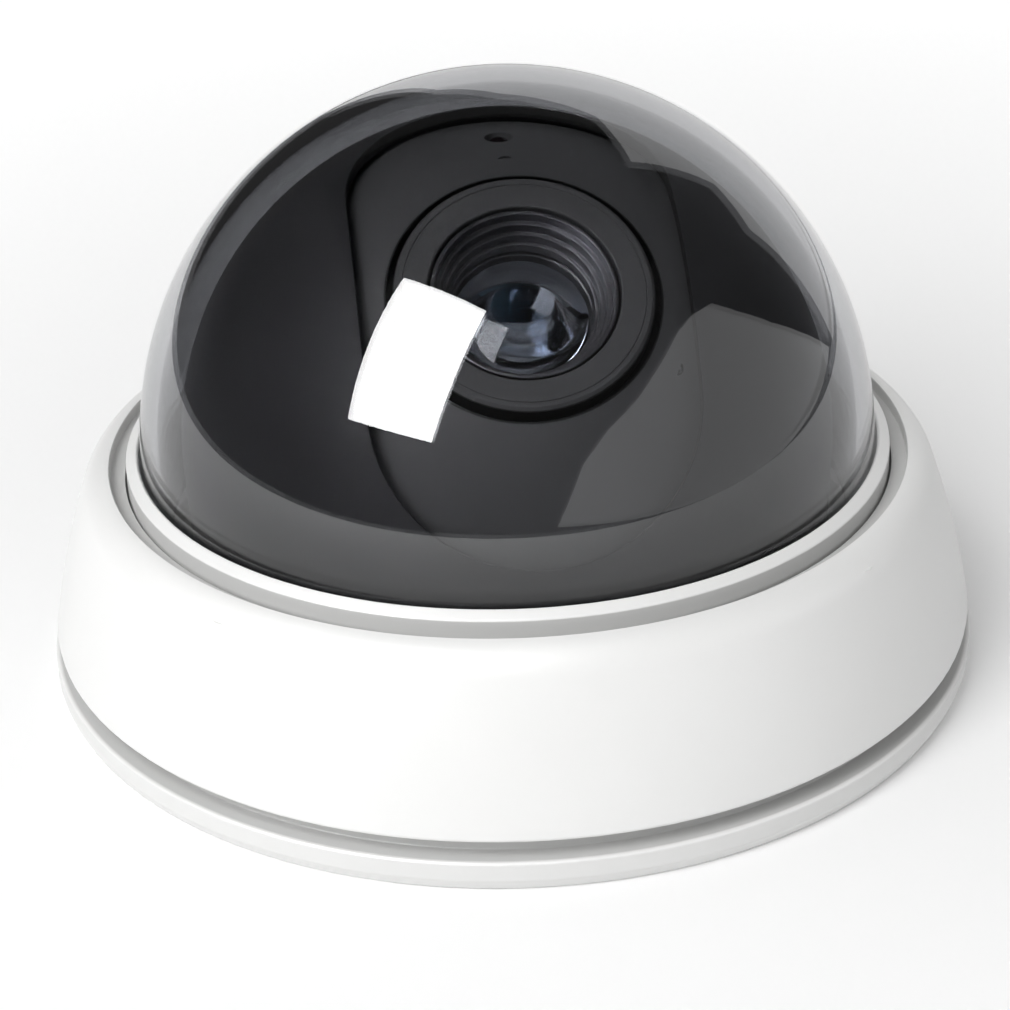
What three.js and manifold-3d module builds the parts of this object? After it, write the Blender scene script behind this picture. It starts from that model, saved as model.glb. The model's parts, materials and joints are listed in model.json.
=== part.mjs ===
// A ceiling dome CCTV camera, shown the way up it stands on a bench: mounting face on z = 0, dome upwards.
// Units are millimetres, +Z is up through the dome and the lens looks towards -Y.
import * as THREE from "three";
import { mergeVertices } from "three/addons/utils/BufferGeometryUtils.js";
import Module from "manifold-3d";

const wasm = await Module();
wasm.setup();

// ---------------------------------------------------------------- driving dimensions
// Clearances
const GAP = 0.3; // between parts that sit against each other
const RUN = 0.4; // between parts that turn or slide past each other

// Base plate
const SIDE_ROOM = 13.2; // from the dome out to the rim: flange, clamp screws and the cover's side
const RIM_FOOT_IN = 0.8; // how far the rim draws in where it meets the ceiling
const RIM_W = 3.0; // ledge between the rim and the wall that the cover slips over
const RIM_H = 4.0; // height of the visible rim
const FLOOR_H = 2.2; // floor inside the base plate
const NECK_WALL = 1.7;
const NECK_TOP = 11.0;
const HUB_R = 9.0; // post that the turntable turns on
const HUB_TOP = 8.4;
const HUB_BORE_R = 6.4; // cable way through the hub
const CABLE_R = 4.2; // hole in the grommet
const MOUNT_SLOT_W = 4.6; // for 4 mm screws
const MOUNT_SLOT_L = 10;
const MOUNT_IN = 6.5; // from the neck in to the middle of each slot
const MOUNT_PAD = 1.8; // rim of the raised pad round each slot
const MOUNT_PAD_H = 1.0;
const BEARING_IN = 6; // from the turntable's edge in to the raised track under it
const STOP_HALF_ANGLE = 2.2; // degrees, half width of each pan stop

// Cover
const SHADOW_GAP = 2.4; // groove between rim and cover
const COVER_IN = 0.4; // how far the cover's lower edge stands back from the rim
const COVER_LIP_H = 5.0; // straight inner lip that slips over the neck
const COVER_WALL = 2.2;
const GROOVE_W = 1.9; // width of the upper groove
const SHOULDER_ROUND = 5.0; // the side rolls over into the top on this radius
const CREST_IN = 1.0; // from the groove's outer edge in to where that roll would be level
const CREST_Z = 28.4;
const ROLL_START = 20; // degrees, where the roll takes over from the side
const SIDE_BULGE = 0.45; // how far the side bows out of a straight cone
const GROOVE_FLOOR_Z = 26.8;
const GROOVE_FLOOR_T = 1.4;
const CLAMP_SCREWS = 4;

// Dome, its ring, seal and clamp
const PIVOT_Z = 29.0; // centre of dome, liner and eyeball
const DOME_R = 46.8;
const DOME_WALL = 2.2;
const DOME_FLANGE_W = 3.3;
const DOME_FLANGE_T = 1.9;
const DOME_FLANGE_Z = 20.0;
const DOME_RING_WALL = 1.6;
const DOME_RING_TOP = 30.0;
const DOME_RING_SLOPE = 0.8;
const DOME_RING_FLANGE_T = 1.5;
const CLAMP_T = 2.1;
const CLAMP_W = 3.3; // how far the clamp stands out past the dome's flange

// Turntable and yoke
const TABLE_W = 1.5; // how far the turntable stands out past the liner
const TABLE_Z = 3.5;
const TABLE_T = 2.0;
const YOKE_T = 1.8;
const YOKE_W = 14;
const YOKE_FOOT = 11;
const WASHER_T = 0.8;
const PIVOT_R = 1.9;

// Liner: the dark inner shell with the slot that the lens looks out of
const LINER_WALL = 1.4;
const DOME_TO_LINER = 2.1;
const SLOT_SIDE = 4.0; // from the bezel out to the slot's side
const SLOT_LOW = 31.0; // elevation of the slot's lower round end's centre, degrees
const SLOT_HIGH = 75.5;

// Eyeball: the tilting shell behind the slot
const LENS_ELEVATION = 51; // degrees above the horizon, at rest
const BALL_WALL = 1.6;
const BALL_TO_LINER = 0.6;
const BALL_SIDE_GAP = 0.6; // between the head ring and the eyeball's sides
const BALL_COVER = 69; // half angle of the shell in the tilt plane, degrees
const HEAD_HOLE_GAP = 0.8; // dark ring round the bezel
const LED_CLEAR = 7.9; // degrees from the head ring's edge up to the lamp
const LED_R = 1.5;

// Camera head
const BEZEL_R = 15.0;
const BEZEL_SINK = 0.12; // how far the bezel's edge lies under the ball's surface
const BEZEL_FLANGE_W = 2.2;
const FLANGE_T = 1.4;
const HEAD_RING_W = 4.8; // how far the head ring stands out past the bezel
const HEAD_RING_T = 1.6;
const HEAD_RING_DROP = 0.88; // between the head ring's edge and the inside of the ball, along the lens axis
const HEAD_RING_GAP = 0.6; // between the head ring and the bezel's flange, taken up by the screws
const HEAD_SCREW_IN = 0.9; // from the head ring's edge in to its screws
const HOOD_R = 10.8;
const HOOD_STEPS = [10.3, 9.6, 8.95, 8.4]; // opening radius of each step, from the front
const HOOD_STEP_DEPTH = 1.25;
const BARREL_WALL = 2.4;
const RING_GRIP = 2.0; // how far the grip rings stand out of the barrel
const RING_W = 5.0;
const FRONT_GLASS_R = 8.0;
const BOARD = 26;
const BOARD_T = 1.6;
const SCREW_R = 1.0;

// Camera head, measured back along the lens axis from the bezel's face
const BARREL_DEPTH = 8.2;
const FRONT_CELL_DEPTH = 9.5;
const HOOD_DEPTH = 10.1;
const APERTURE_DEPTH = 12.1;
const FOCUS_DEPTH = 14.3;
const ZOOM_CELL_DEPTH = 20.1;
const ZOOM_DEPTH = 22.3;
const BARREL_END_DEPTH = 25.3;
const BOARD_DEPTH = 30.5;

// Sides of round parts, by size
const BIG = 36;
const MEDIUM = 20;
const SMALL = 12;
const TINY = 8;

// ---------------------------------------------------------------- values that follow from them
const rad = THREE.MathUtils.degToRad;
const BODY_R = DOME_R + SIDE_ROOM; // base rim, the widest thing on the camera
const NECK_R = BODY_R - RIM_W;
const MOUNT_CIRCLE_R = NECK_R - MOUNT_IN;
const COVER_LOW = RIM_H + SHADOW_GAP;
const COVER_R = BODY_R - COVER_IN;
const LIP_R = NECK_R + RUN;
const DOME_IN = DOME_R - DOME_WALL;
const RING_IN = DOME_R + GAP;
const RING_OUT = RING_IN + DOME_RING_WALL;
const GROOVE_IN = RING_OUT + GAP;
const SHOULDER_R = GROOVE_IN + GROOVE_W;
const CREST_R = SHOULDER_R - CREST_IN;
const DOME_FLANGE_R = DOME_R + DOME_FLANGE_W;
const LINER_R = DOME_IN - DOME_TO_LINER;
const LINER_IN = LINER_R - LINER_WALL;
const BALL_R = LINER_IN - BALL_TO_LINER;
const BALL_IN = BALL_R - BALL_WALL;
const TABLE_R = LINER_R + TABLE_W;
const BEARING_R = TABLE_R - BEARING_IN;
const TABLE_TOP = TABLE_Z + TABLE_T;
const WASHER_TOP = TABLE_TOP + WASHER_T;
const SEAL_Z = DOME_FLANGE_Z + DOME_FLANGE_T + GAP / 2;
const GROOVE_UNDER = GROOVE_FLOOR_Z - GROOVE_FLOOR_T;
const RING_FLANGE_TOP = GROOVE_UNDER - GAP;
const RING_FLANGE_Z = RING_FLANGE_TOP - DOME_RING_FLANGE_T;
const CLAMP_Z = DOME_FLANGE_Z - GAP / 2 - CLAMP_T;
const CLAMP_R = DOME_FLANGE_R + CLAMP_W;
const BOSS_CIRCLE_R = DOME_FLANGE_R + SCREW_R + 1.2;
const SLOT_HALF_W = BEZEL_R + SLOT_SIDE;
const HEAD_HOLE_R = BEZEL_R + HEAD_HOLE_GAP;
const BEZEL_FLANGE_R = BEZEL_R + BEZEL_FLANGE_W;
const BEZEL_BORE_R = HOOD_R + GAP;
const HEAD_RING_R = BEZEL_R + HEAD_RING_W;
const HEAD_SCREW_CIRCLE_R = HEAD_RING_R - HEAD_SCREW_IN;
const LED_ANGLE = THREE.MathUtils.radToDeg(Math.asin(HEAD_RING_R / BALL_IN)) + LED_CLEAR;
const BALL_HALF_W = HEAD_RING_R + BALL_SIDE_GAP + BALL_WALL;
const BEZEL_FACE = Math.sqrt(BALL_R ** 2 - BEZEL_R ** 2) - BEZEL_SINK;
const HEAD_RING_Z = Math.sqrt(BALL_IN ** 2 - HEAD_RING_R ** 2) - HEAD_RING_DROP - HEAD_RING_T;
const FLANGE_Z = HEAD_RING_Z + HEAD_RING_T + HEAD_RING_GAP;
const BARREL_BORE_R = HOOD_R - 0.6;
const BARREL_R = BARREL_BORE_R + BARREL_WALL;
const BARREL_FRONT = BEZEL_FACE - BARREL_DEPTH;
const BARREL_BACK = BEZEL_FACE - BARREL_END_DEPTH;
const RING_R = BARREL_R + RING_GRIP;
const FOCUS_AT = BEZEL_FACE - FOCUS_DEPTH;
const ZOOM_AT = BEZEL_FACE - ZOOM_DEPTH;
const HOOD_BACK = BEZEL_FACE - HOOD_DEPTH;
const BOARD_AT = BEZEL_FACE - BOARD_DEPTH;

// ---------------------------------------------------------------- materials
const plain = (colour, roughness, metalness = 0) =>
  new THREE.MeshStandardMaterial({ color: colour, roughness, metalness });
const whiteAbs = plain(0xf2f2f0, 0.42);
const blackAbs = plain(0x1b1b1c, 0.5);
const smokedPolycarbonate = new THREE.MeshStandardMaterial({
  color: 0x55565a, roughness: 0.05, metalness: 0, transparent: true, opacity: 0.45,
});
const rubber = plain(0x161616, 0.85);
const steel = plain(0xb9bbbd, 0.3, 1);
const nylon = plain(0xdedbd2, 0.55);
const blackAluminium = plain(0x222325, 0.35, 0.6);
const glass = new THREE.MeshStandardMaterial({
  color: 0xcfd8e6, roughness: 0.02, metalness: 0, transparent: true, opacity: 0.35,
});
const filterGlass = plain(0x7fb8c9, 0.05);
const circuitBoard = plain(0x1d5a3a, 0.45);
const chip = plain(0x191a1c, 0.4);
const connectorWhite = plain(0xefece2, 0.5);
const ledRed = plain(0x6a1014, 0.15);

// ---------------------------------------------------------------- geometry helpers
// A three.js geometry as a manifold-3d solid.
function solid(geometry) {
  const bare = (geometry.index ? geometry.toNonIndexed() : geometry.clone());
  bare.deleteAttribute("normal");
  bare.deleteAttribute("uv");
  const merged = mergeVertices(bare, 1e-4);
  const triangles = [];
  const index = merged.index.array;
  for (let i = 0; i < index.length; i += 3) {
    const [a, b, c] = [index[i], index[i + 1], index[i + 2]];
    if (a !== b && b !== c && c !== a) triangles.push(a, b, c);
  }
  return new wasm.Manifold(new wasm.Mesh({
    numProp: 3,
    vertProperties: merged.attributes.position.array,
    triVerts: new Uint32Array(triangles),
  }));
}

// A manifold-3d solid back as a three.js geometry.
function geometryOf(manifold) {
  const mesh = manifold.getMesh();
  const geometry = new THREE.BufferGeometry();
  geometry.setAttribute("position", new THREE.BufferAttribute(mesh.vertProperties, 3));
  geometry.setIndex(new THREE.BufferAttribute(mesh.triVerts, 1));
  geometry.computeVertexNormals();
  return geometry;
}

const join = (...parts) => parts.reduce((a, b) => a.add(b));
const cut = (body, ...tools) => tools.reduce((a, b) => a.subtract(b), body);

// A closed outline of [radius, height] pairs turned about Z.
function turned(outline, sides) {
  let area = 0;
  outline.forEach(([r, z], i) => {
    const [r2, z2] = outline[(i + 1) % outline.length];
    area += r * z2 - r2 * z;
  });
  const ordered = area > 0 ? outline : [...outline].reverse();
  const points = ordered.map(([r, z]) => new THREE.Vector2(r, z));
  const onAxis = points[0].x < 1e-6 && points.at(-1).x < 1e-6;
  if (!onAxis) points.push(points[0].clone());
  return new THREE.LatheGeometry(points, sides).rotateX(Math.PI / 2);
}

// A round bar along Z from z0 to z1.
const bar = (r, z0, z1, sides = SMALL) =>
  new THREE.CylinderGeometry(r, r, z1 - z0, sides).rotateX(Math.PI / 2).translate(0, 0, (z0 + z1) / 2);

// A flat ring along Z from z0 to z1.
const ring = (inner, outer, z0, z1, sides = MEDIUM) =>
  turned([[inner, z0], [outer, z0], [outer, z1], [inner, z1]], sides);

// A block between two corners.
function block(low, high) {
  const size = high.map((h, i) => h - low[i]);
  const middle = high.map((h, i) => (h + low[i]) / 2);
  return new THREE.BoxGeometry(...size).translate(...middle);
}

// Points on an arc in an outline, angles in degrees from the radius axis towards the height axis.
function arc(cr, cz, r, from, to, steps) {
  const points = [];
  for (let i = 0; i <= steps; i++) {
    const a = rad(from + ((to - from) * i) / steps);
    points.push([cr + r * Math.cos(a), cz + r * Math.sin(a)]);
  }
  return points;
}

// A flat outline in the YZ plane, x0 to x1 thick. The outline is a list of [y, z].
function slab(outline, x0, x1) {
  const shape = new THREE.Shape(outline.map(([y, z]) => new THREE.Vector2(y, z)));
  const made = new THREE.ExtrudeGeometry(shape, { depth: x1 - x0, bevelEnabled: false });
  const toYZ = new THREE.Matrix4().makeBasis(
    new THREE.Vector3(0, 1, 0), new THREE.Vector3(0, 0, 1), new THREE.Vector3(1, 0, 0));
  return made.applyMatrix4(toYZ).translate(x0, 0, 0);
}

// A pie slice in the YZ plane about the origin, angles in degrees from +Z towards +Y.
function slice(radius, from, to, x0, x1, steps = 8) {
  const outline = [[0, 0]];
  for (let i = 0; i <= steps; i++) {
    const a = rad(from + ((to - from) * i) / steps);
    outline.push([radius * Math.sin(a), radius * Math.cos(a)]);
  }
  return slab(outline, x0, x1);
}

const spin = (geometry, degrees) => geometry.rotateZ(rad(degrees));

// ---------------------------------------------------------------- assembly
const camera = new THREE.Group();
const aim = new THREE.Group(); // its +Z is the lens axis, its +Y is up the picture, its origin the pivot
aim.position.set(0, 0, PIVOT_Z);
aim.rotation.x = rad(90 - LENS_ELEVATION);
camera.add(aim);

function place(group, name, shape, material) {
  const geometry = shape.isBufferGeometry ? shape : geometryOf(shape);
  const mesh = new THREE.Mesh(geometry, material);
  mesh.name = name;
  group.add(mesh);
  return mesh;
}

// A pan-head screw along Z: head from z0 up to z0 + head height, shank the other way.
function screw(shankR, shankLength, headR, headH) {
  return turned([
    [0, -shankLength], [shankR, -shankLength], [shankR, 0], [headR, 0], [headR * 0.85, headH], [0, headH],
  ], TINY);
}

// ---------------------------------------------------------------- base plate and what stays on it
function basePlate() {
  const neckIn = NECK_R - NECK_WALL;
  const body = solid(turned([
    [HUB_BORE_R, 0], [BODY_R - RIM_FOOT_IN, 0], [BODY_R - 0.1, 1.0], [BODY_R, 2.0], [BODY_R, RIM_H - 0.4],
    [BODY_R - 0.4, RIM_H], [NECK_R, RIM_H], [NECK_R, NECK_TOP - 0.5], [NECK_R - 0.5, NECK_TOP],
    [neckIn, NECK_TOP], [neckIn, FLOOR_H], [HUB_R + 1.5, FLOOR_H],
    [HUB_R, FLOOR_H], [HUB_R, HUB_TOP], [HUB_BORE_R, HUB_TOP],
  ], BIG));
  const track = solid(ring(BEARING_R - 1, BEARING_R + 1, FLOOR_H - 0.2, TABLE_Z - RUN, BIG));
  const clipGroove = solid(ring(HUB_R - 0.8, HUB_R + 1, WASHER_TOP + 0.1, WASHER_TOP + 1.0));
  let made = cut(join(body, track), clipGroove);
  for (const angle of [0, 180]) {
    const half = MOUNT_SLOT_W / 2;
    const run = (MOUNT_SLOT_L - MOUNT_SLOT_W) / 2;
    const at = (g, y) => solid(spin(g.translate(MOUNT_CIRCLE_R, y, 0), angle));
    const pad = block(
      [-half - MOUNT_PAD, -MOUNT_SLOT_L / 2 - MOUNT_PAD, FLOOR_H - 0.2],
      [half + MOUNT_PAD, MOUNT_SLOT_L / 2 + MOUNT_PAD, FLOOR_H + MOUNT_PAD_H]);
    const ends = [-run, run].map((y) => at(bar(half, -1, FLOOR_H + MOUNT_PAD_H + 1), y));
    const middle = at(block([-half, -run, -1], [half, run, FLOOR_H + MOUNT_PAD_H + 1]), 0);
    made = cut(join(made, at(pad, 0)), ...ends, middle);
  }
  const stop = block(
    [-(TABLE_R + 2.6) * Math.sin(rad(STOP_HALF_ANGLE)), TABLE_R + RUN, FLOOR_H - 0.2],
    [(TABLE_R + 2.6) * Math.sin(rad(STOP_HALF_ANGLE)), TABLE_R + 2.6, TABLE_TOP]);
  made = join(made, solid(stop));
  for (let i = 0; i < 3; i++) {
    const rib = block([NECK_R - 0.3, -2.5, NECK_TOP - 2.6], [NECK_R + RUN - 0.25, 2.5, NECK_TOP - 1.4]);
    made = join(made, solid(spin(rib, 30 + 120 * i)));
  }
  return made;
}
place(camera, "base_plate", basePlate(), whiteAbs);
place(camera, "cable_grommet", turned([
  [CABLE_R, 0.3], [HUB_BORE_R - GAP, 0.3], [HUB_BORE_R - GAP, HUB_TOP + GAP],
  [HUB_BORE_R + 1.2, HUB_TOP + GAP], [HUB_BORE_R + 0.8, HUB_TOP + 1.4], [CABLE_R, HUB_TOP + 1.4],
], MEDIUM), rubber);
place(camera, "pan_washer", ring(HUB_R + RUN, HUB_R + 3.2, TABLE_TOP + 0.1, WASHER_TOP - 0.1), nylon);
place(camera, "pan_clip", cut(
  solid(ring(HUB_R - 0.5, HUB_R + 2.0, WASHER_TOP + 0.2, WASHER_TOP + 0.9)),
  solid(block([-1.6, -HUB_R - 3, TABLE_TOP], [1.6, -HUB_R + 2, TABLE_TOP + 3])),
), steel);

// ---------------------------------------------------------------- cover, dome and what holds it
// The side's outer line from the lip up to the roll of the shoulder, bowed outwards a little.
const [SIDE_TOP_R, SIDE_TOP_Z] = arc(CREST_R, CREST_Z - SHOULDER_ROUND, SHOULDER_ROUND, ROLL_START, 90, 1)[0];
function sideLine(steps, inset) {
  const points = [];
  for (let i = 0; i <= steps; i++) {
    const t = i / steps;
    const r = COVER_R + (SIDE_TOP_R - COVER_R) * t + SIDE_BULGE * 4 * t * (1 - t);
    points.push([r - inset, COVER_LOW + (SIDE_TOP_Z - COVER_LOW) * t]);
  }
  return points;
}

function coverShell() {
  const outside = sideLine(3, 0);
  const rollEnd = THREE.MathUtils.radToDeg(Math.acos((SHOULDER_R + 0.2 - CREST_R) / SHOULDER_ROUND));
  const roll = arc(CREST_R, CREST_Z - SHOULDER_ROUND, SHOULDER_ROUND, ROLL_START, rollEnd, 3).slice(1);
  const lipTop = COVER_LOW + COVER_LIP_H;
  const inside = sideLine(3, COVER_WALL).filter(([, z]) => z > lipTop + 1 && z < GROOVE_UNDER);
  outside[0][1] += 0.4;
  const body = solid(turned([
    [LIP_R, COVER_LOW], [COVER_R - 0.4, COVER_LOW], ...outside, ...roll,
    [SHOULDER_R, roll.at(-1)[1] - 0.3],
    [SHOULDER_R, GROOVE_FLOOR_Z], [GROOVE_IN, GROOVE_FLOOR_Z],
    [GROOVE_IN, GROOVE_UNDER], [SIDE_TOP_R - COVER_WALL - 0.4, GROOVE_UNDER],
    ...inside.reverse(), [inside.at(-1)[0], lipTop], [LIP_R, lipTop],
  ], BIG));
  let made = body;
  for (let i = 0; i < CLAMP_SCREWS; i++) {
    const angle = 45 + (360 / CLAMP_SCREWS) * i;
    const post = bar(SCREW_R + 0.9, CLAMP_Z + CLAMP_T + GAP, GROOVE_FLOOR_Z - 0.5);
    const hole = bar(SCREW_R + GAP, 0, GROOVE_UNDER - 1);
    made = join(made, solid(spin(post.translate(BOSS_CIRCLE_R, 0, 0), angle)));
    made = cut(made, solid(spin(hole.translate(BOSS_CIRCLE_R, 0, 0), angle)));
  }
  return made;
}
place(camera, "cover_shell", coverShell(), whiteAbs);
place(camera, "dome_ring", turned([
  [RING_IN, RING_FLANGE_Z], [DOME_FLANGE_R, RING_FLANGE_Z], [DOME_FLANGE_R, RING_FLANGE_TOP],
  [RING_OUT, RING_FLANGE_TOP], [RING_OUT, DOME_RING_TOP - DOME_RING_SLOPE - 0.2],
  [RING_OUT - 0.3, DOME_RING_TOP - DOME_RING_SLOPE + 0.1], [RING_IN + 0.3, DOME_RING_TOP],
  [RING_IN, DOME_RING_TOP - 0.3],
], BIG), whiteAbs);
const seal = ring(RING_IN + 0.2, DOME_FLANGE_R - 0.2, SEAL_Z, RING_FLANGE_Z - GAP / 2, BIG);
place(camera, "dome_seal", seal, rubber);

const domeSteps = 7;
place(camera, "dome", turned([
  [DOME_IN, DOME_FLANGE_Z], [DOME_FLANGE_R, DOME_FLANGE_Z], [DOME_FLANGE_R, DOME_FLANGE_Z + DOME_FLANGE_T],
  [DOME_R, DOME_FLANGE_Z + DOME_FLANGE_T],
  ...arc(0, PIVOT_Z, DOME_R, 0, 90, domeSteps).map(([r, z], i) => [i === domeSteps ? 0 : r, z]),
  ...arc(0, PIVOT_Z, DOME_IN, 90, 0, domeSteps).map(([r, z], i) => [i === 0 ? 0 : r, z]),
], BIG), smokedPolycarbonate);

function domeClamp() {
  let made = solid(ring(DOME_IN + 0.6, CLAMP_R, CLAMP_Z, CLAMP_Z + CLAMP_T, BIG));
  for (let i = 0; i < CLAMP_SCREWS; i++) {
    const hole = bar(SCREW_R + GAP, CLAMP_Z - 1, CLAMP_Z + CLAMP_T + 1);
    made = cut(made, solid(spin(hole.translate(BOSS_CIRCLE_R, 0, 0), 45 + (360 / CLAMP_SCREWS) * i)));
  }
  return made;
}
place(camera, "dome_clamp", domeClamp(), blackAbs);
for (let i = 0; i < CLAMP_SCREWS; i++) {
  const made = screw(SCREW_R, 4.6, 1.9, 1.2).rotateX(Math.PI).translate(BOSS_CIRCLE_R, 0, CLAMP_Z - GAP / 2);
  place(camera, `dome_clamp_screw_${i + 1}`, spin(made, 45 + (360 / CLAMP_SCREWS) * i), steel);
}

// ---------------------------------------------------------------- turntable, yoke and liner
const EAR_ANGLES = [90, 210, 330];
const EAR_CIRCLE_R = LINER_IN - 4.2;
const EAR_Z = TABLE_TOP + 0.2;
const YOKE_X = BALL_HALF_W + WASHER_T + 0.3;
const FOOT_SCREW_X = YOKE_X + YOKE_T + YOKE_FOOT / 2;
const FOOT_SCREW_Y = YOKE_W / 2 - 3.2;

function turntable() {
  let made = solid(ring(HUB_R + RUN, TABLE_R, TABLE_Z, TABLE_TOP, BIG));
  const half = (TABLE_R + 2.4) * Math.sin(rad(STOP_HALF_ANGLE));
  made = join(made, solid(block([-half, -TABLE_R - 2.4, TABLE_Z], [half, -TABLE_R + 1, TABLE_TOP])));
  for (const angle of EAR_ANGLES) {
    const tool = join(
      solid(bar(SCREW_R + GAP, TABLE_Z - 1, TABLE_TOP + 1, TINY)),
      solid(bar(2.0 + GAP, TABLE_Z - 1, TABLE_Z + 1.1)));
    const turn = rad(angle);
    made = cut(made, tool.translate([EAR_CIRCLE_R * Math.cos(turn), EAR_CIRCLE_R * Math.sin(turn), 0]));
  }
  for (const sx of [-1, 1]) {
    for (const sy of [-1, 1]) {
      const hole = bar(SCREW_R + GAP, TABLE_Z - 1, TABLE_TOP + 1, TINY);
      made = cut(made, solid(hole.translate(sx * FOOT_SCREW_X, sy * FOOT_SCREW_Y, 0)));
    }
  }
  return made;
}
place(camera, "turntable", turntable(), blackAbs);

function yokeArm(side) {
  const top = PIVOT_Z;
  const half = YOKE_W / 2;
  const outline = [[-half - 2, TABLE_TOP + 0.2], [half + 2, TABLE_TOP + 0.2], [half, TABLE_TOP + 8]];
  for (let i = 0; i <= 8; i++) {
    const a = (Math.PI * i) / 8;
    outline.push([half * Math.cos(a), top + half * Math.sin(a)]);
  }
  outline.push([-half, TABLE_TOP + 8]);
  const arm = solid(slab(outline, YOKE_X, YOKE_X + YOKE_T));
  const foot = solid(block(
    [YOKE_X + 0.2, -half - 2, TABLE_TOP + 0.2],
    [YOKE_X + YOKE_T + YOKE_FOOT, half + 2, TABLE_TOP + 0.2 + YOKE_T]));
  const rib = solid(block(
    [YOKE_X + YOKE_T - 0.2, -0.8, TABLE_TOP + 1], [YOKE_X + YOKE_T + 2.2, 0.8, top - half - 1]));
  const pivot = bar(PIVOT_R + GAP, YOKE_X - 2, YOKE_X + 6).rotateY(Math.PI / 2).translate(0, 0, PIVOT_Z);
  let made = cut(join(arm, foot, rib), solid(pivot));
  for (const sy of [-1, 1]) {
    const hole = bar(SCREW_R + GAP, 0, PIVOT_Z, TINY).translate(FOOT_SCREW_X, sy * FOOT_SCREW_Y, 0);
    made = cut(made, solid(hole));
  }
  return side > 0 ? made : made.rotate([0, 0, 180]);
}
const yokeSides = [["right", 1], ["left", -1]];
let yokeScrew = 0;
for (const [word, side] of yokeSides) {
  place(camera, `yoke_${word}`, yokeArm(side), steel);
  for (const sy of [-1, 1]) {
    yokeScrew += 1;
    const made = screw(SCREW_R, 3.4, 1.9, 1.2)
      .translate(side * FOOT_SCREW_X, sy * FOOT_SCREW_Y, TABLE_TOP + 0.2 + YOKE_T + GAP / 2);
    place(camera, `yoke_screw_${yokeScrew}`, made, steel);
  }
  const turn = side > 0 ? 0 : Math.PI;
  const pivotLength = YOKE_T + WASHER_T + 0.6 + 3.2;
  const pivot = screw(PIVOT_R, pivotLength, 3.4, 1.6)
    .rotateY(Math.PI / 2).translate(YOKE_X + YOKE_T + GAP / 2, 0, 0);
  place(camera, `pivot_screw_${word}`, pivot.rotateZ(turn).translate(0, 0, PIVOT_Z), steel);
  const washerAt = BALL_HALF_W + GAP / 2;
  const washer = ring(PIVOT_R + GAP, 5.4, washerAt, washerAt + WASHER_T, SMALL).rotateY(Math.PI / 2);
  place(camera, `tilt_washer_${word}`, washer.rotateZ(turn).translate(0, 0, PIVOT_Z), nylon);
}

function liner() {
  const steps = 7;
  const low = TABLE_TOP + 0.2;
  const shell = solid(turned([
    [LINER_IN, low], [LINER_R, low],
    ...arc(0, PIVOT_Z, LINER_R, 0, 90, steps).map(([r, z], i) => [i === steps ? 0 : r, z]),
    ...arc(0, PIVOT_Z, LINER_IN, 90, 0, steps).map(([r, z], i) => [i === 0 ? 0 : r, z]),
  ], BIG));
  const reach = DOME_R;
  const slotEnd = (elevation) =>
    solid(bar(SLOT_HALF_W, 0, reach, MEDIUM).rotateX(rad(90 - elevation)).translate(0, 0, PIVOT_Z));
  const slotSides = solid(
    slice(reach, -(90 - SLOT_LOW), -(90 - SLOT_HIGH), -SLOT_HALF_W, SLOT_HALF_W).translate(0, 0, PIVOT_Z));
  let made = cut(shell, slotEnd(SLOT_LOW), slotEnd(SLOT_HIGH), slotSides);
  for (const angle of EAR_ANGLES) {
    const ear = bar(3.0, EAR_Z, EAR_Z + 2.6, SMALL).translate(EAR_CIRCLE_R, 0, 0);
    const web = block([EAR_CIRCLE_R, -3, EAR_Z], [LINER_IN + 0.6, 3, EAR_Z + 2.6]);
    const hole = bar(SCREW_R + 0.15, 0, EAR_Z + 2.0, TINY).translate(EAR_CIRCLE_R, 0, 0);
    made = join(made, solid(spin(ear, angle)), solid(spin(web, angle)));
    made = cut(made, solid(spin(hole, angle)));
  }
  return made;
}
place(camera, "liner", liner(), blackAbs);
EAR_ANGLES.forEach((angle, i) => {
  const made = screw(SCREW_R, 3.2, 2.0, 0.9).rotateX(Math.PI).translate(EAR_CIRCLE_R, 0, TABLE_Z + 1.0);
  place(camera, `liner_screw_${i + 1}`, spin(made, angle), steel);
});

// ---------------------------------------------------------------- eyeball and its lamp
const HEAD_SCREW_ANGLES = [90, 210, 330];

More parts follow.
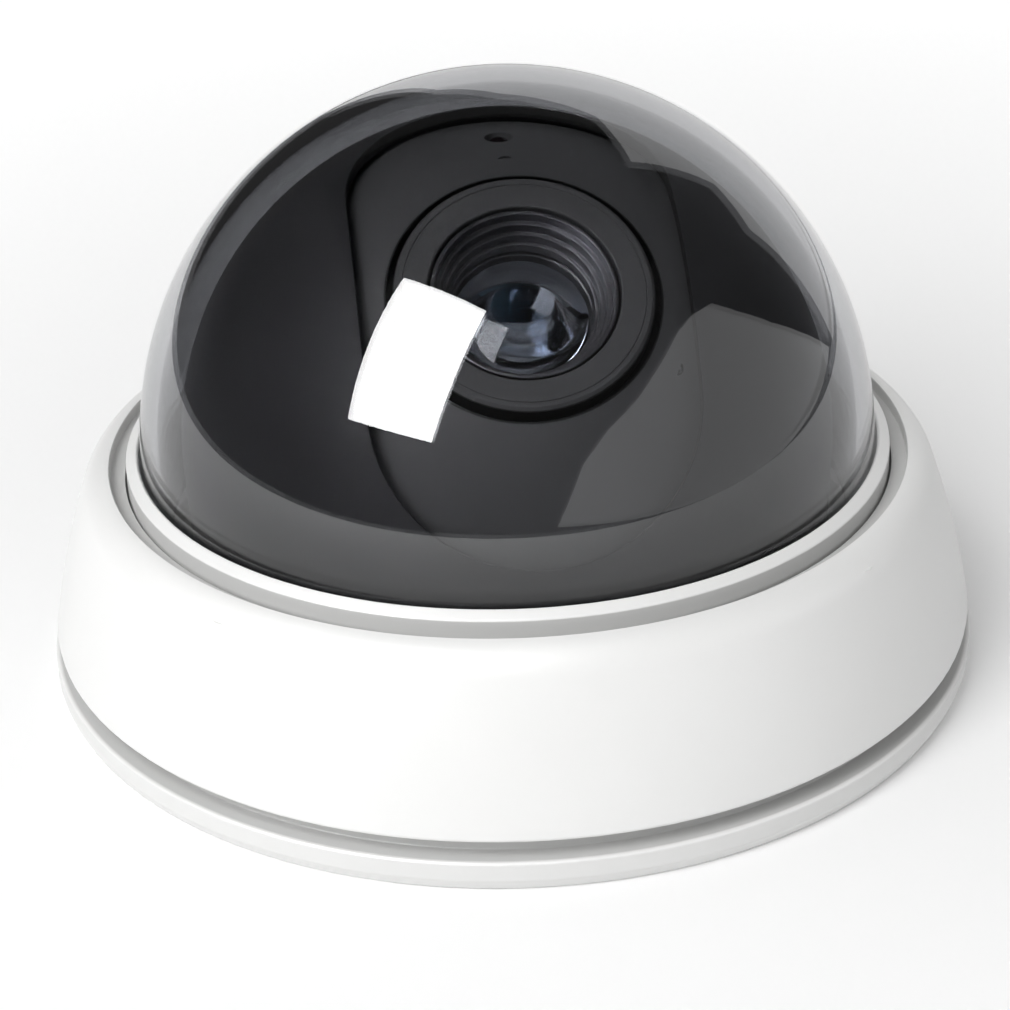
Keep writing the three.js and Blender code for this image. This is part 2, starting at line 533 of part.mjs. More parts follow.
function eyeball() {
  const steps = 12;
  const ballOutline = (r) => arc(0, 0, r, -90, 90, steps).map(([x, z], i) => [i % steps ? x : 0, z]);
  const shell = cut(solid(turned(ballOutline(BALL_R), BIG)), solid(turned(ballOutline(BALL_IN), BIG)));
  const cover = solid(slice(BALL_R + 5, -BALL_COVER, BALL_COVER, -BALL_HALF_W, BALL_HALF_W, 4));
  let made = shell.intersect(cover);
  const sideR = Math.sqrt(BALL_R ** 2 - BALL_HALF_W ** 2) - 0.05;
  for (const side of [-1, 1]) {
    const x0 = side > 0 ? BALL_HALF_W - BALL_WALL : -BALL_HALF_W;
    const plate = solid(slice(sideR, -BALL_COVER, BALL_COVER, x0, x0 + BALL_WALL, 9));
    const window = cut(
      solid(slice(sideR - 4, -BALL_COVER + 14, BALL_COVER - 14, x0 - 1, x0 + BALL_WALL + 1, 8)),
      solid(bar(12, x0 - 2, x0 + BALL_WALL + 2, MEDIUM).rotateY(Math.PI / 2)));
    const b0 = side > 0 ? BALL_HALF_W - 4.2 : -BALL_HALF_W;
    const boss = solid(bar(4.6, b0, b0 + 4.2, MEDIUM).rotateY(Math.PI / 2));
    const hub = solid(bar(8, x0, x0 + BALL_WALL, MEDIUM).rotateY(Math.PI / 2));
    made = join(made, cut(plate, window), boss, hub);
  }
  for (const angle of HEAD_SCREW_ANGLES) {
    const post = bar(2.0, HEAD_RING_Z + HEAD_RING_T + 0.2, BALL_R, TINY).translate(HEAD_SCREW_CIRCLE_R, 0, 0);
    made = join(made, solid(spin(post, angle)).intersect(solid(turned(ballOutline(BALL_IN + 0.6), BIG))));
  }
  for (const sx of [-1, 1]) {
    const post = bar(0.8, BALL_R - 5.3, BALL_R - 0.8, TINY).translate(sx * 3.2, 0, 0);
    made = join(made, solid(post.rotateX(-rad(LED_ANGLE))));
  }
  const pivot = bar(PIVOT_R + GAP, -BALL_HALF_W - 2, BALL_HALF_W + 2).rotateY(Math.PI / 2);
  made = cut(made, solid(pivot), solid(bar(HEAD_HOLE_R, HEAD_RING_Z - 11, BALL_R + 2, MEDIUM)));
  made = cut(made, solid(bar(LED_R + 0.25, BALL_IN - 9, BALL_R + 2).rotateX(-rad(LED_ANGLE))));
  made = cut(made, solid(bar(BEZEL_FLANGE_R + RUN, HEAD_RING_Z - 1, FLANGE_Z + FLANGE_T + GAP, MEDIUM)));
  for (const angle of HEAD_SCREW_ANGLES) {
    const hole = bar(0.8 + 0.2, HEAD_RING_Z - 11, HEAD_RING_Z + 3.4, TINY).translate(HEAD_SCREW_CIRCLE_R, 0, 0);
    made = cut(made, solid(spin(hole, angle)));
  }
  return made;
}
place(aim, "eyeball", eyeball(), blackAbs);

function headRing() {
  let made = solid(ring(BEZEL_R + 0.6, HEAD_RING_R, HEAD_RING_Z, HEAD_RING_Z + HEAD_RING_T, MEDIUM));
  for (const angle of HEAD_SCREW_ANGLES) {
    const hole = bar(0.8 + 0.2, HEAD_RING_Z - 11, BALL_R, TINY).translate(HEAD_SCREW_CIRCLE_R, 0, 0);
    made = cut(made, solid(spin(hole, angle)));
  }
  return made;
}
place(aim, "head_ring", headRing(), blackAbs);
HEAD_SCREW_ANGLES.forEach((angle, i) => {
  const made = screw(0.8, 3.2, 1.2, 0.8).rotateX(Math.PI)
    .translate(HEAD_SCREW_CIRCLE_R, 0, HEAD_RING_Z - GAP / 2);
  place(aim, `head_ring_screw_${i + 1}`, spin(made, angle), steel);
});

const lamp = turned([
  [0, BALL_R - 5.2], [LED_R + 0.4, BALL_R - 5.2], [LED_R + 0.4, BALL_R - 4.4], [LED_R, BALL_R - 4.4],
  ...arc(0, BALL_R - LED_R, LED_R, 0, 90, 4).map(([r, z], i) => [i === 4 ? 0 : r, z]),
], SMALL);
place(aim, "indicator_led", lamp.rotateX(-rad(LED_ANGLE)), ledRed);
const lampBoard = block([-4.6, -3.2, BALL_R - 6.6], [4.6, 3.2, BALL_R - 5.5]);
place(aim, "led_board", lampBoard.rotateX(-rad(LED_ANGLE)), circuitBoard);

// ---------------------------------------------------------------- camera head: bezel, hood and barrel
place(aim, "bezel", turned([
  [BEZEL_BORE_R, BARREL_FRONT + GAP], [BEZEL_R, BARREL_FRONT + GAP], [BEZEL_R, FLANGE_Z],
  [BEZEL_FLANGE_R, FLANGE_Z], [BEZEL_FLANGE_R, FLANGE_Z + FLANGE_T], [BEZEL_R, FLANGE_Z + FLANGE_T],
  [BEZEL_R, BEZEL_FACE - 0.5], [BEZEL_R - 0.5, BEZEL_FACE], [BEZEL_BORE_R + 0.2, BEZEL_FACE],
  [BEZEL_BORE_R, BEZEL_FACE - 0.2],
], MEDIUM), blackAbs);

const hoodOutline = [[HOOD_R - 0.6, HOOD_BACK], [HOOD_R, HOOD_BACK], [HOOD_R, BEZEL_FACE - 0.3]];
HOOD_STEPS.forEach((r, i) => {
  const front = BEZEL_FACE - 0.3 - HOOD_STEP_DEPTH * i;
  hoodOutline.push([r, front], [r, front - HOOD_STEP_DEPTH]);
});
hoodOutline.push([HOOD_R - 0.6, BEZEL_FACE - 0.3 - HOOD_STEP_DEPTH * HOOD_STEPS.length]);
place(aim, "lens_hood", turned(hoodOutline, MEDIUM), blackAluminium);

const barrelOutline = [
  [HOOD_R + 0.25, BARREL_FRONT], [BARREL_R, BARREL_FRONT], [BARREL_R, FOCUS_AT - GAP],
  [BARREL_R + 1.6, FOCUS_AT - GAP], [BARREL_R + 1.6, ZOOM_AT + RING_W + GAP],
  [BARREL_R, ZOOM_AT + RING_W + GAP], [BARREL_R, ZOOM_AT - GAP], [BARREL_R + 1.2, ZOOM_AT - GAP],
  [BARREL_R + 1.2, BARREL_BACK], [BARREL_BORE_R, BARREL_BACK], [BARREL_BORE_R, HOOD_BACK - GAP],
  [HOOD_R + 0.25, HOOD_BACK - GAP],
];
place(aim, "lens_barrel", turned(barrelOutline, MEDIUM), blackAluminium);

// A grip ring that turns on the barrel, with its lock screw standing out to the side.
function gripRing(name, at, angle) {
  const middle = at + RING_W / 2;
  const hole = bar(1.0 + 0.2, 0, RING_R + 2, TINY).rotateY(Math.PI / 2).translate(0, 0, middle);
  const band = ring(BARREL_R + GAP, RING_R, at, at + RING_W, MEDIUM);
  place(aim, `${name}_ring`, cut(solid(band), solid(spin(hole, angle))), blackAluminium);
  const lock = screw(1.0, 1.5, 1.9, 3.4).rotateY(Math.PI / 2).translate(RING_R + 0.2, 0, middle);
  place(aim, `${name}_lock_screw`, spin(lock, angle), steel);
}
gripRing("focus", FOCUS_AT, 160);
gripRing("zoom", ZOOM_AT, 20);

// A lens that bulges to the front: flat back, round edge, domed front.
function lensElement(r, back, edge, bulge, steps) {
  const ballR = (r * r + bulge * bulge) / (2 * bulge);
  const centre = back + edge + bulge - ballR;
  const half = THREE.MathUtils.radToDeg(Math.asin(r / ballR));
  const dome = arc(0, centre, ballR, 90 - half, 90, steps).map(([x, z], i) => [i === steps ? 0 : x, z]);
  return turned([[0, back], [r, back], ...dome], MEDIUM);
}
const FRONT_CELL_AT = BEZEL_FACE - FRONT_CELL_DEPTH;
const APERTURE_AT = BEZEL_FACE - APERTURE_DEPTH;
const ZOOM_CELL_AT = BEZEL_FACE - ZOOM_CELL_DEPTH;
const CELL_R = BARREL_BORE_R - GAP;
const MIDDLE_GLASS_R = 4.45;
const ZOOM_GLASS_R = 6.0;
const frontCell = ring(FRONT_GLASS_R + GAP, CELL_R, FRONT_CELL_AT, FRONT_CELL_AT + 3.3, MEDIUM);
place(aim, "front_cell", frontCell, blackAluminium);
place(aim, "front_element", lensElement(FRONT_GLASS_R, FRONT_CELL_AT + 1.2, 1.2, 2.4, 4), glass);
const aperturePlate = ring(MIDDLE_GLASS_R + GAP, CELL_R, APERTURE_AT, APERTURE_AT + 1.0, MEDIUM);
place(aim, "aperture_plate", aperturePlate, blackAbs);
place(aim, "middle_element", lensElement(MIDDLE_GLASS_R, APERTURE_AT + 0.1, 1.0, 1.3, 3), glass);
const zoomCell = ring(ZOOM_GLASS_R + GAP, BARREL_BORE_R - RUN, ZOOM_CELL_AT, ZOOM_CELL_AT + 3.0, MEDIUM);
place(aim, "zoom_cell", zoomCell, blackAluminium);
place(aim, "zoom_element", lensElement(ZOOM_GLASS_R, ZOOM_CELL_AT + 0.6, 1.0, 1.1, 3), glass);

// ---------------------------------------------------------------- sensor end of the camera head
const MOUNT_HALF = 12;
const BOARD_SCREW = 9.4;
const boardTop = BOARD_AT + BOARD_T;

function lensMount() {
  const low = [-MOUNT_HALF, -MOUNT_HALF, boardTop + 0.2];
  const plate = solid(block(low, [MOUNT_HALF, MOUNT_HALF, BARREL_BACK - GAP]));
  const collar = solid(bar(9.8, BARREL_BACK - 1, BARREL_BACK + 3, MEDIUM));
  const step = BARREL_BACK - 0.9;
  let made = cut(join(plate, collar), solid(bar(7.0, boardTop - 1, step + 0.1, MEDIUM)));
  made = cut(made, solid(bar(8.0, step, BARREL_BACK + 4, MEDIUM)));
  for (const s of [-1, 1]) {
    const hole = bar(SCREW_R + 0.1, BOARD_AT - 5, BARREL_BACK - 1, TINY);
    made = cut(made, solid(hole.translate(s * BOARD_SCREW, s * BOARD_SCREW, 0)));
  }
  return made;
}
place(aim, "lens_mount", lensMount(), blackAbs);

function sensorBoard() {
  const half = BOARD / 2;
  let made = solid(block([-half, -half, BOARD_AT], [half, half, boardTop]));
  for (const s of [-1, 1]) {
    const hole = bar(SCREW_R + 0.2, BOARD_AT - 5, BARREL_BACK, TINY);
    made = cut(made, solid(hole.translate(s * BOARD_SCREW, s * BOARD_SCREW, 0)));
  }
  return made;
}
place(aim, "sensor_board", sensorBoard(), circuitBoard);
place(aim, "image_sensor", block([-4.6, -4.6, boardTop + 0.15], [4.6, 4.6, boardTop + 1.5]), chip);
place(aim, "ir_filter", bar(7.6, BARREL_BACK - 0.7, BARREL_BACK + 0.1, MEDIUM), filterGlass);
[-1, 1].forEach((s, i) => {
  const made = screw(SCREW_R, 3.4, 1.8, 1.0).rotateX(Math.PI)
    .translate(s * BOARD_SCREW, s * BOARD_SCREW, BOARD_AT - 0.15);
  place(aim, `board_screw_${i + 1}`, made, steel);
});
place(aim, "main_connector", block([-6, -10.6, BOARD_AT - 4.6], [6, -5.8, BOARD_AT - 0.15]), connectorWhite);
const ledConnector = block([-10.8, 4.8, BOARD_AT - 3.8], [-5.8, 9.2, BOARD_AT - 0.15]);
place(aim, "led_connector", ledConnector, connectorWhite);
place(aim, "image_processor", block([-4.6, -3.4, BOARD_AT - 1.2], [4.6, 5.6, BOARD_AT - 0.15]), chip);

export default camera;
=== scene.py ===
"""Finished surfaces for a ceiling dome camera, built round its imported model.

The part stands on its mounting face with the dome up and the lens towards -Y. Sizes in the
outlines are millimetres; everything placed in the scene is in metres.
"""

import json
import math
from contextlib import contextmanager

import bpy
from mathutils import Matrix, Vector

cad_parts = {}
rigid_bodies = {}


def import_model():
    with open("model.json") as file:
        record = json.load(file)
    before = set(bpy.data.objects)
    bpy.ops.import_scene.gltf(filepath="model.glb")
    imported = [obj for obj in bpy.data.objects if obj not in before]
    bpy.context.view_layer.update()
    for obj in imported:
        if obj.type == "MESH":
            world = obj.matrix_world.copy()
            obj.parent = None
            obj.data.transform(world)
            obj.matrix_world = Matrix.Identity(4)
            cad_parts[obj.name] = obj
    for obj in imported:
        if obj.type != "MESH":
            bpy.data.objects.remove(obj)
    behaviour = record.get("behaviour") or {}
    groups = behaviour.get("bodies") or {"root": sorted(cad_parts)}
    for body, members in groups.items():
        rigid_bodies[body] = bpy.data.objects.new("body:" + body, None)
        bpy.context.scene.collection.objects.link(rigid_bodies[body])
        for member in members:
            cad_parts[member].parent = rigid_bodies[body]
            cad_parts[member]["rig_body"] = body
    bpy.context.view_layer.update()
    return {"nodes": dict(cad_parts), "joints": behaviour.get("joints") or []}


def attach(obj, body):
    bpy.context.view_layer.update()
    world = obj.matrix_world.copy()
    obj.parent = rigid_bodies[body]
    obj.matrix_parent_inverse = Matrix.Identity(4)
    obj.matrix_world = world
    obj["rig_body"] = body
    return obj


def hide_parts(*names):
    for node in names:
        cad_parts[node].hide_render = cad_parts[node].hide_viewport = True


bl_info = {
    "name": "Dome Camera Finishes",
    "version": (1, 0, 0),
    "blender": (4, 5, 0),
    "location": "View3D > Sidebar > Dome Camera",
    "description": "Builds the smooth, finished pieces of a ceiling dome camera round its frame",
    "category": "Object",
}

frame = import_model()

# ---------------------------------------------------------------- where things are
MM = 0.001
WELD = 1e-7  # metres: closer vertices are one
JOINTS = {joint["name"]: joint for joint in frame["joints"]}
PIVOT = Vector(JOINTS["tilt"]["pos_m"])
LENS_AXIS = Vector(JOINTS["roll"]["axis"]).normalized()
UPRIGHT = Matrix()
AIM = Matrix.Translation(PIVOT) @ Matrix.Rotation(math.acos(LENS_AXIS.z), 4, "X")


def span(node, at=UPRIGHT):
    """Lowest and highest corner of a CAD node in millimetres, measured along the axes of at."""
    back = at.inverted()
    points = [back @ vertex.co / MM for vertex in frame["nodes"][node].data.vertices]
    return Vector(map(min, *points)), Vector(map(max, *points))


def moved_to(x, y, z=0):
    """A placing matrix to a point in millimetres."""
    return Matrix.Translation(Vector((x, y, z)) * MM)


def turned_about(degrees, axis="Z"):
    """A placing matrix that turns about an axis through the origin."""
    return Matrix.Rotation(math.radians(degrees), 4, axis)


def on_circle(degrees, radius):
    """A placing matrix to a place on a circle round Z, with X pointing outwards."""
    return turned_about(degrees) @ Matrix.Translation((radius * MM, 0, 0))


BASE_HIGH = span("base_plate")[1]
COVER_LOW = span("cover_shell")[0]
RING_LOW, RING_HIGH = span("dome_ring")
DOME_LOW, DOME_HIGH = span("dome")
CLAMP_LOW, CLAMP_HIGH = span("dome_clamp")
TABLE_LOW, TABLE_HIGH = span("turntable")
LINER_LOW, LINER_HIGH = span("liner")
PIVOT_Z = PIVOT.z / MM
DOME_R = DOME_HIGH.z - PIVOT_Z
LINER_R = LINER_HIGH.z - PIVOT_Z

ROUND = 128  # steps of the large round pieces
MEDIUM_ROUND = 96
SMALL_ROUND = 48
TINY_ROUND = 24
CORNER_STEPS = 3
BEVEL_STEPS = 2

# ---------------------------------------------------------------- settings
LENGTH = {"subtype": "DISTANCE", "unit": "LENGTH", "precision": 4}


def length_setting(name, description, millimetres):
    return bpy.props.FloatProperty(
        name=name, description=description, default=millimetres * MM, min=0.0, **LENGTH)


def colour_setting(name, description, hex_colour):
    return bpy.props.FloatVectorProperty(
        name=name, description=description, default=linear(hex_colour)[:3],
        size=3, min=0.0, max=1.0, subtype="COLOR")


def linear(hex_colour):
    """A hex sRGB colour as linear red, green, blue and alpha."""
    channels = [int(hex_colour[i:i + 2], 16) / 255 for i in (0, 2, 4)]
    return (*(c / 12.92 if c <= 0.04045 else ((c + 0.055) / 1.055) ** 2.4 for c in channels), 1.0)


class HousingSettings(bpy.types.PropertyGroup):
    rim_height: length_setting("Rim height", "Height of the base plate's visible rim", 4.0)
    neck_radius: length_setting("Neck radius", "Wall of the base plate that the cover slips over", 57.0)
    cover_wall: length_setting("Cover wall", "Thickness of the cover's side", 2.2)
    shoulder_round: length_setting("Shoulder round", "Radius on which the side rolls into the top", 5.0)
    side_bulge: length_setting("Side bulge", "How far the cover's side bows out of a cone", 0.45)
    edge_round: length_setting("Edge round", "Radius on the moulded edges", 0.4)
    colour: colour_setting("Housing colour", "White of the moulded base, cover and ring", "F6F6F5")


class DomeSettings(bpy.types.PropertyGroup):
    wall: length_setting("Dome wall", "Thickness of the clear dome", 2.2)
    tint: colour_setting("Smoke tint", "What the smoked wall lets through", "A2A3A6")


class InsideSettings(bpy.types.PropertyGroup):
    liner_wall: length_setting("Liner wall", "Thickness of the dark inner shell", 1.4)
    slot_half_width: length_setting("Slot half width", "Half the width of the lens slot", 19.0)
    ball_gap: length_setting("Ball gap", "Clearance between liner and eyeball", 0.6)
    colour: colour_setting("Liner colour", "Dark plastic of the liner and turntable", "38383A")
    head_colour: colour_setting("Head colour", "Dark plastic of the eyeball and bezel", "686869")


class StageSettings(bpy.types.PropertyGroup):
    key_power: bpy.props.FloatProperty(
        name="Key power", description="Power of the large soft light", default=5.6, min=0.0,
        subtype="POWER", unit="POWER")
    key_glare: bpy.props.FloatProperty(
        name="Key glare", description="Brightness of the soft light's face in polished surfaces",
        default=16.0, min=0.0)
    fill: bpy.props.FloatProperty(
        name="Fill", description="Brightness of the light from all round", default=0.4, min=0.0)
    table_glow: bpy.props.FloatProperty(
        name="Table glow", description="Light that the pale table gives of itself", default=0.22, min=0.0)
    room: bpy.props.FloatProperty(
        name="Room", description="Brightness of the unlit room in polished surfaces", default=0.035, min=0.0)
    floor_colour: colour_setting("Floor colour", "Pale floor", "F9F9F9")


SETTINGS = {
    "dome_housing": HousingSettings,
    "dome_window": DomeSettings,
    "dome_inside": InsideSettings,
    "dome_stage": StageSettings,
}


def settings(name):
    return getattr(bpy.context.scene, name)


# ---------------------------------------------------------------- modelling steps
def only(obj):
    """Leaves obj as the one selected, active object."""
    bpy.ops.object.select_all(action="DESELECT")
    obj.select_set(True)
    bpy.context.view_layer.objects.active = obj
    return obj


@contextmanager
def editing(obj):
    """Edit mode on obj alone, with all of it selected."""
    only(obj)
    bpy.ops.object.mode_set(mode="EDIT")
    bpy.ops.mesh.select_all(action="SELECT")
    yield
    bpy.ops.object.mode_set(mode="OBJECT")


def arc(centre_r, centre_z, radius, start, end, steps):
    """Points on an arc, with angles in degrees from the radius axis towards the height axis."""
    angles = [math.radians(start + (end - start) * i / steps) for i in range(steps + 1)]
    return [(centre_r + radius * math.cos(a), centre_z + radius * math.sin(a)) for a in angles]


def rounded(outline):
    """The outline with every corner that carries a third number rounded on that radius."""
    points = []
    for i, corner in enumerate(outline):
        here = Vector(corner[:2])
        if len(corner) == 2:
            points.append(here)
            continue
        before = Vector(outline[i - 1][:2]) - here
        after = Vector(outline[(i + 1) % len(outline)][:2]) - here
        half = before.angle(after) / 2
        reach = min(corner[2] / math.tan(half), 0.48 * before.length, 0.48 * after.length)
        centre = here + (before.normalized() + after.normalized()).normalized() * reach / math.cos(half)
        start = here + before.normalized() * reach - centre
        turn = start.angle_signed(here + after.normalized() * reach - centre)
        for step in range(CORNER_STEPS + 1):
            points.append(centre + Matrix.Rotation(-turn * step / CORNER_STEPS, 2) @ start)
    return points


def drawn(name, points, closed):
    """A wire through points in metres, drawn from one vertex by extruding it on, left in edit mode."""
    bpy.ops.object.select_all(action="DESELECT")
    bpy.ops.mesh.primitive_plane_add(size=MM)
    obj = bpy.context.object
    obj.name = obj.data.name = name
    bpy.ops.object.mode_set(mode="EDIT")
    bpy.ops.mesh.merge(type="CENTER")
    bpy.ops.transform.translate(value=points[0])
    route = points + points[:1] if closed else points
    for here, there in zip(route, route[1:]):
        bpy.ops.mesh.extrude_vertices_move(TRANSFORM_OT_translate={"value": there - here})
    bpy.ops.mesh.select_all(action="SELECT")
    bpy.ops.mesh.remove_doubles(threshold=WELD)
    return obj


def lathe(name, outline, steps=ROUND, sweep=360):
    """An outline of (radius, height) corners in millimetres spun about Z."""
    on_axis = outline[0][0] == 0 and outline[-1][0] == 0
    points = [Vector((r, 0, z)) * MM for r, z in rounded(outline)]
    obj = drawn(name, points, closed=not on_axis)
    bpy.ops.mesh.spin(steps=steps, angle=math.radians(sweep), center=(0, 0, 0), axis=(0, 0, 1))
    bpy.ops.mesh.select_all(action="SELECT")
    bpy.ops.mesh.remove_doubles(threshold=WELD)
    if sweep < 360:
        bpy.ops.mesh.fill_holes(sides=0)
    bpy.ops.mesh.normals_make_consistent(inside=False)
    bpy.ops.object.mode_set(mode="OBJECT")
    return obj


def plate(name, outline, thickness):
    """A flat outline of (x, y) corners in millimetres, thick along Z from zero."""
    points = [Vector((x, y, 0)) * MM for x, y in rounded(outline)]
    obj = drawn(name, points, closed=True)
    bpy.ops.mesh.edge_face_add()
    bpy.ops.mesh.extrude_region_move(TRANSFORM_OT_translate={"value": (0, 0, thickness * MM)})
    bpy.ops.mesh.select_all(action="SELECT")
    bpy.ops.mesh.normals_make_consistent(inside=False)
    bpy.ops.object.mode_set(mode="OBJECT")
    return obj


def block(name, low, high, edge=0.2):
    """A block between two corners in millimetres, its edges rounded."""
    low, high = Vector(low), Vector(high)
    bpy.ops.object.select_all(action="DESELECT")
    bpy.ops.mesh.primitive_cube_add(size=1, location=(low + high) / 2 * MM, scale=(high - low) * MM)
    obj = bpy.context.object
    obj.name = obj.data.name = name
    bpy.ops.object.transform_apply(location=True, rotation=True, scale=True)
    if edge:
        with editing(obj):
            bpy.ops.mesh.bevel(offset=edge * MM, segments=BEVEL_STEPS, affect="EDGES")
    return obj


def band(inner, outer, low, high, corner):
    """The outline of a flat ring with all four corners rounded alike."""
    return [(inner, low, corner), (outer, low, corner), (outer, high, corner), (inner, high, corner)]


def rod(name, radius, low, high, steps=TINY_ROUND):
    """A round bar along Z, mostly to cut holes with."""
    return lathe(name, [(0, low), (radius, low), (radius, high), (0, high)], steps)


def placed(obj, *matrices):
    """Moves obj by matrices, the last one first, and applies that to its mesh."""
    for matrix in reversed(matrices):
        only(obj)
        obj.matrix_world = matrix
        bpy.ops.object.transform_apply(location=True, rotation=True, scale=True)
    return obj


def combined(obj, operation, *tools):
    """obj cut by, joined with or kept inside each tool in turn; the tools are used up."""
    for tool in tools:
        only(obj)
        bpy.ops.object.modifier_add(type="BOOLEAN")
        modifier = obj.modifiers[-1]
        modifier.operation = operation
        modifier.object = tool
        modifier.solver = "EXACT"
        bpy.ops.object.modifier_apply(modifier=modifier.name)
        bpy.data.objects.remove(tool)
    return obj


def cut(obj, *tools):
    """obj less each tool."""
    return combined(obj, "DIFFERENCE", *tools)


def joined(obj, *tools):
    """obj and each tool as one body."""
    return combined(obj, "UNION", *tools)


def finished(obj, node, slot, finish=None, crease=38):
    """The last step for each piece: shading, material, and what it stands for and rides on."""
    only(obj)
    bpy.ops.object.shade_smooth_by_angle(angle=math.radians(crease))
    bpy.ops.object.modifier_add(type="WEIGHTED_NORMAL")
    obj.modifiers[-1].keep_sharp = True
    bpy.ops.object.modifier_apply(modifier=obj.modifiers[-1].name)
    obj.name = obj.data.name = f"finished_{node}"
    obj.data.materials.clear()
    obj.data.materials.append((finish or FINISHES[slot])())
    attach(obj, frame["nodes"][node]["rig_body"])
    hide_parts(node)
    return obj


# ---------------------------------------------------------------- materials
def add(tree, kind, inputs=(), ramp=(), **features):
    """Adds a node, sets its features and its ramp's stops, and gives its inputs values or links."""
    node = tree.nodes.new("ShaderNode" + kind)
    for i, (position, colour) in enumerate(ramp):
        node.color_ramp.elements[i].position = position
        node.color_ramp.elements[i].color = colour
    for name, value in features.items():
        setattr(node, name, value)
    for name, value in dict(inputs).items():
        if isinstance(value, bpy.types.NodeSocket):
            tree.links.new(value, node.inputs[name])
        else:
            node.inputs[name].default_value = value
    return node


def material(name, build):
    """A material made once by build(tree), which returns the shader's output."""
    found = bpy.data.materials.get(name)
    if found:
        return found
    made = bpy.data.materials.new(name)
    made.use_nodes = True
    made.node_tree.nodes.clear()
    surface = build(made.node_tree)
    add(made.node_tree, "OutputMaterial", {"Surface": surface})
    return made


def per_mm(feature):
    """The pattern scale at which one feature is that many millimetres across."""
    return 1 / (feature * MM)


def shades(colour, share):
    """A colour made a little darker and a little lighter."""
    return [(*(min(1.0, c * k) for c in colour[:3]), 1.0) for k in (1 - share, 1 + share)]


def times(tree, *values):
    """The product of values or outputs."""
    product = values[0]
    for value in values[1:]:
        product = add(tree, "Math", {0: product, 1: value}, operation="MULTIPLY").outputs[0]
    return product


def beyond(tree, value, at, soft):
    """Nought below a level in millimetres and one above it; the other way round if soft is negative."""
    reach = abs(soft) / 2
    ends = (at - reach, at + reach) if soft > 0 else (at + reach, at - reach)
    return add(tree, "MapRange", {
        "Value": value, "From Min": ends[0] * MM, "From Max": ends[1] * MM}).outputs["Result"]


def polar(tree, place):
    """Distance from the upright axis, and height."""
    parts = add(tree, "SeparateXYZ", {"Vector": place}).outputs
    flat = add(tree, "CombineXYZ", {"X": parts["X"], "Y": parts["Y"]}).outputs["Vector"]
    return add(tree, "VectorMath", {0: flat}, operation="LENGTH").outputs["Value"], parts["Z"]


# Painted shade: the housing's white is mixed towards grey in its two grooves, where shade falls, and a smaller share
# of that grey goes on the rim's outer face
JOINT_GROOVE = (3.85, 6.55, 59.45)  # bottom, top and outer radius of the groove over the rim
RING_GROOVE = (25.0, RING_HIGH.z - 0.95, 48.5, 51.0)  # bottom, top, inner and outer radius, round the dome's ring
RIM_GREY = (3.8, 59.0, 0.35)  # top, inner radius and share on the rim


def groove_shade_and_rim_grey(tree, place):
    """One in the two grooves of the housing, where painted shade makes them grey, and a smaller share of that grey
    on the outer face of its rim.
    """
    radius, height = polar(tree, place)
    low, high, outside = JOINT_GROOVE
    lower = times(tree, beyond(tree, height, low, 0.15), beyond(tree, height, high, -0.1),
                  beyond(tree, radius, outside, -0.3))
    low, high, inside, outside = RING_GROOVE
    upper = times(tree, beyond(tree, height, high, -0.2), beyond(tree, height, low, 0.2),
                  beyond(tree, radius, inside, 0.1), beyond(tree, radius, outside, -0.1))
    rim_top, rim_inside, trace = RIM_GREY
    rim = times(tree, beyond(tree, height, rim_top, -0.1), beyond(tree, radius, rim_inside, 0.2), trace)
    grooves = add(tree, "Math", {0: lower, 1: upper}, operation="ADD").outputs[0]
    return add(tree, "Math", {0: grooves, 1: rim}, operation="ADD", use_clamp=True).outputs[0]


def bezel_gap_shade(tree, place):
    """One on the walls of the narrow gap between the bezel and the eyeball, which are painted black as the shade in
    the gap.
    """
    offset = add(tree, "VectorMath", {0: place, 1: PIVOT}, operation="SUBTRACT").outputs["Vector"]
    across_axis = add(tree, "VectorMath", {0: offset, 1: LENS_AXIS}, operation="CROSS_PRODUCT").outputs["Vector"]
    radius = add(tree, "VectorMath", {0: across_axis}, operation="LENGTH").outputs["Value"]
    return times(tree, beyond(tree, radius, BEZEL_R - 0.12, 0.1), beyond(tree, radius, HEAD_HOLE_R + 0.2, -0.1))


def slot_edge_shade(tree, place):
    """One within the liner's wall, where only the cut edges of its slot show; they are painted dark as the shade
    along the slot's edge.
    """
    offset = add(tree, "VectorMath", {0: place, 1: PIVOT}, operation="SUBTRACT").outputs["Vector"]
    radius = add(tree, "VectorMath", {0: offset}, operation="LENGTH").outputs["Value"]
    return beyond(tree, radius, LINER_R - 0.07, -0.05)


SHEEN_SPREAD = 0.05  # how far a moulded surface's roughness wanders each way


def moulded(tree, colour, roughness, grain, depth, variation, ior=1.54, painted_shade=None):
    """Moulded plastic: an even, faintly uneven colour over the fine grain of a spark-eroded mould."""
    place = add(tree, "TexCoord").outputs["Object"]
    broad = add(tree, "TexNoise", {"Vector": place, "Scale": per_mm(25), "Detail": 2.0})
    dark, light = shades(colour, variation)
    tone = add(tree, "ValToRGB", {"Fac": broad.outputs["Fac"]}, ramp=((0.3, dark), (0.7, light))).outputs["Color"]
    # painted shade: the tone is mixed towards a dark colour where the mask says shade falls
    if painted_shade:
        where, shade = painted_shade
        tone = add(tree, "Mix", {0: where(tree, place), 6: tone, 7: linear(shade)}, data_type="RGBA").outputs[2]
    fine = add(tree, "TexNoise", {"Vector": place, "Scale": per_mm(grain), "Detail": 3.0})
    matt = add(tree, "MapRange", {
        "Value": broad.outputs["Fac"], "From Min": 0.3, "From Max": 0.7,
        "To Min": roughness - SHEEN_SPREAD, "To Max": roughness + SHEEN_SPREAD})
    bump = add(tree, "Bump", {"Height": fine.outputs["Fac"], "Strength": 0.5, "Distance": depth * MM})
    return add(tree, "BsdfPrincipled", {
        "Base Color": tone, "Roughness": matt.outputs["Result"],
        "Normal": bump.outputs["Normal"], "IOR": ior}).outputs["BSDF"]


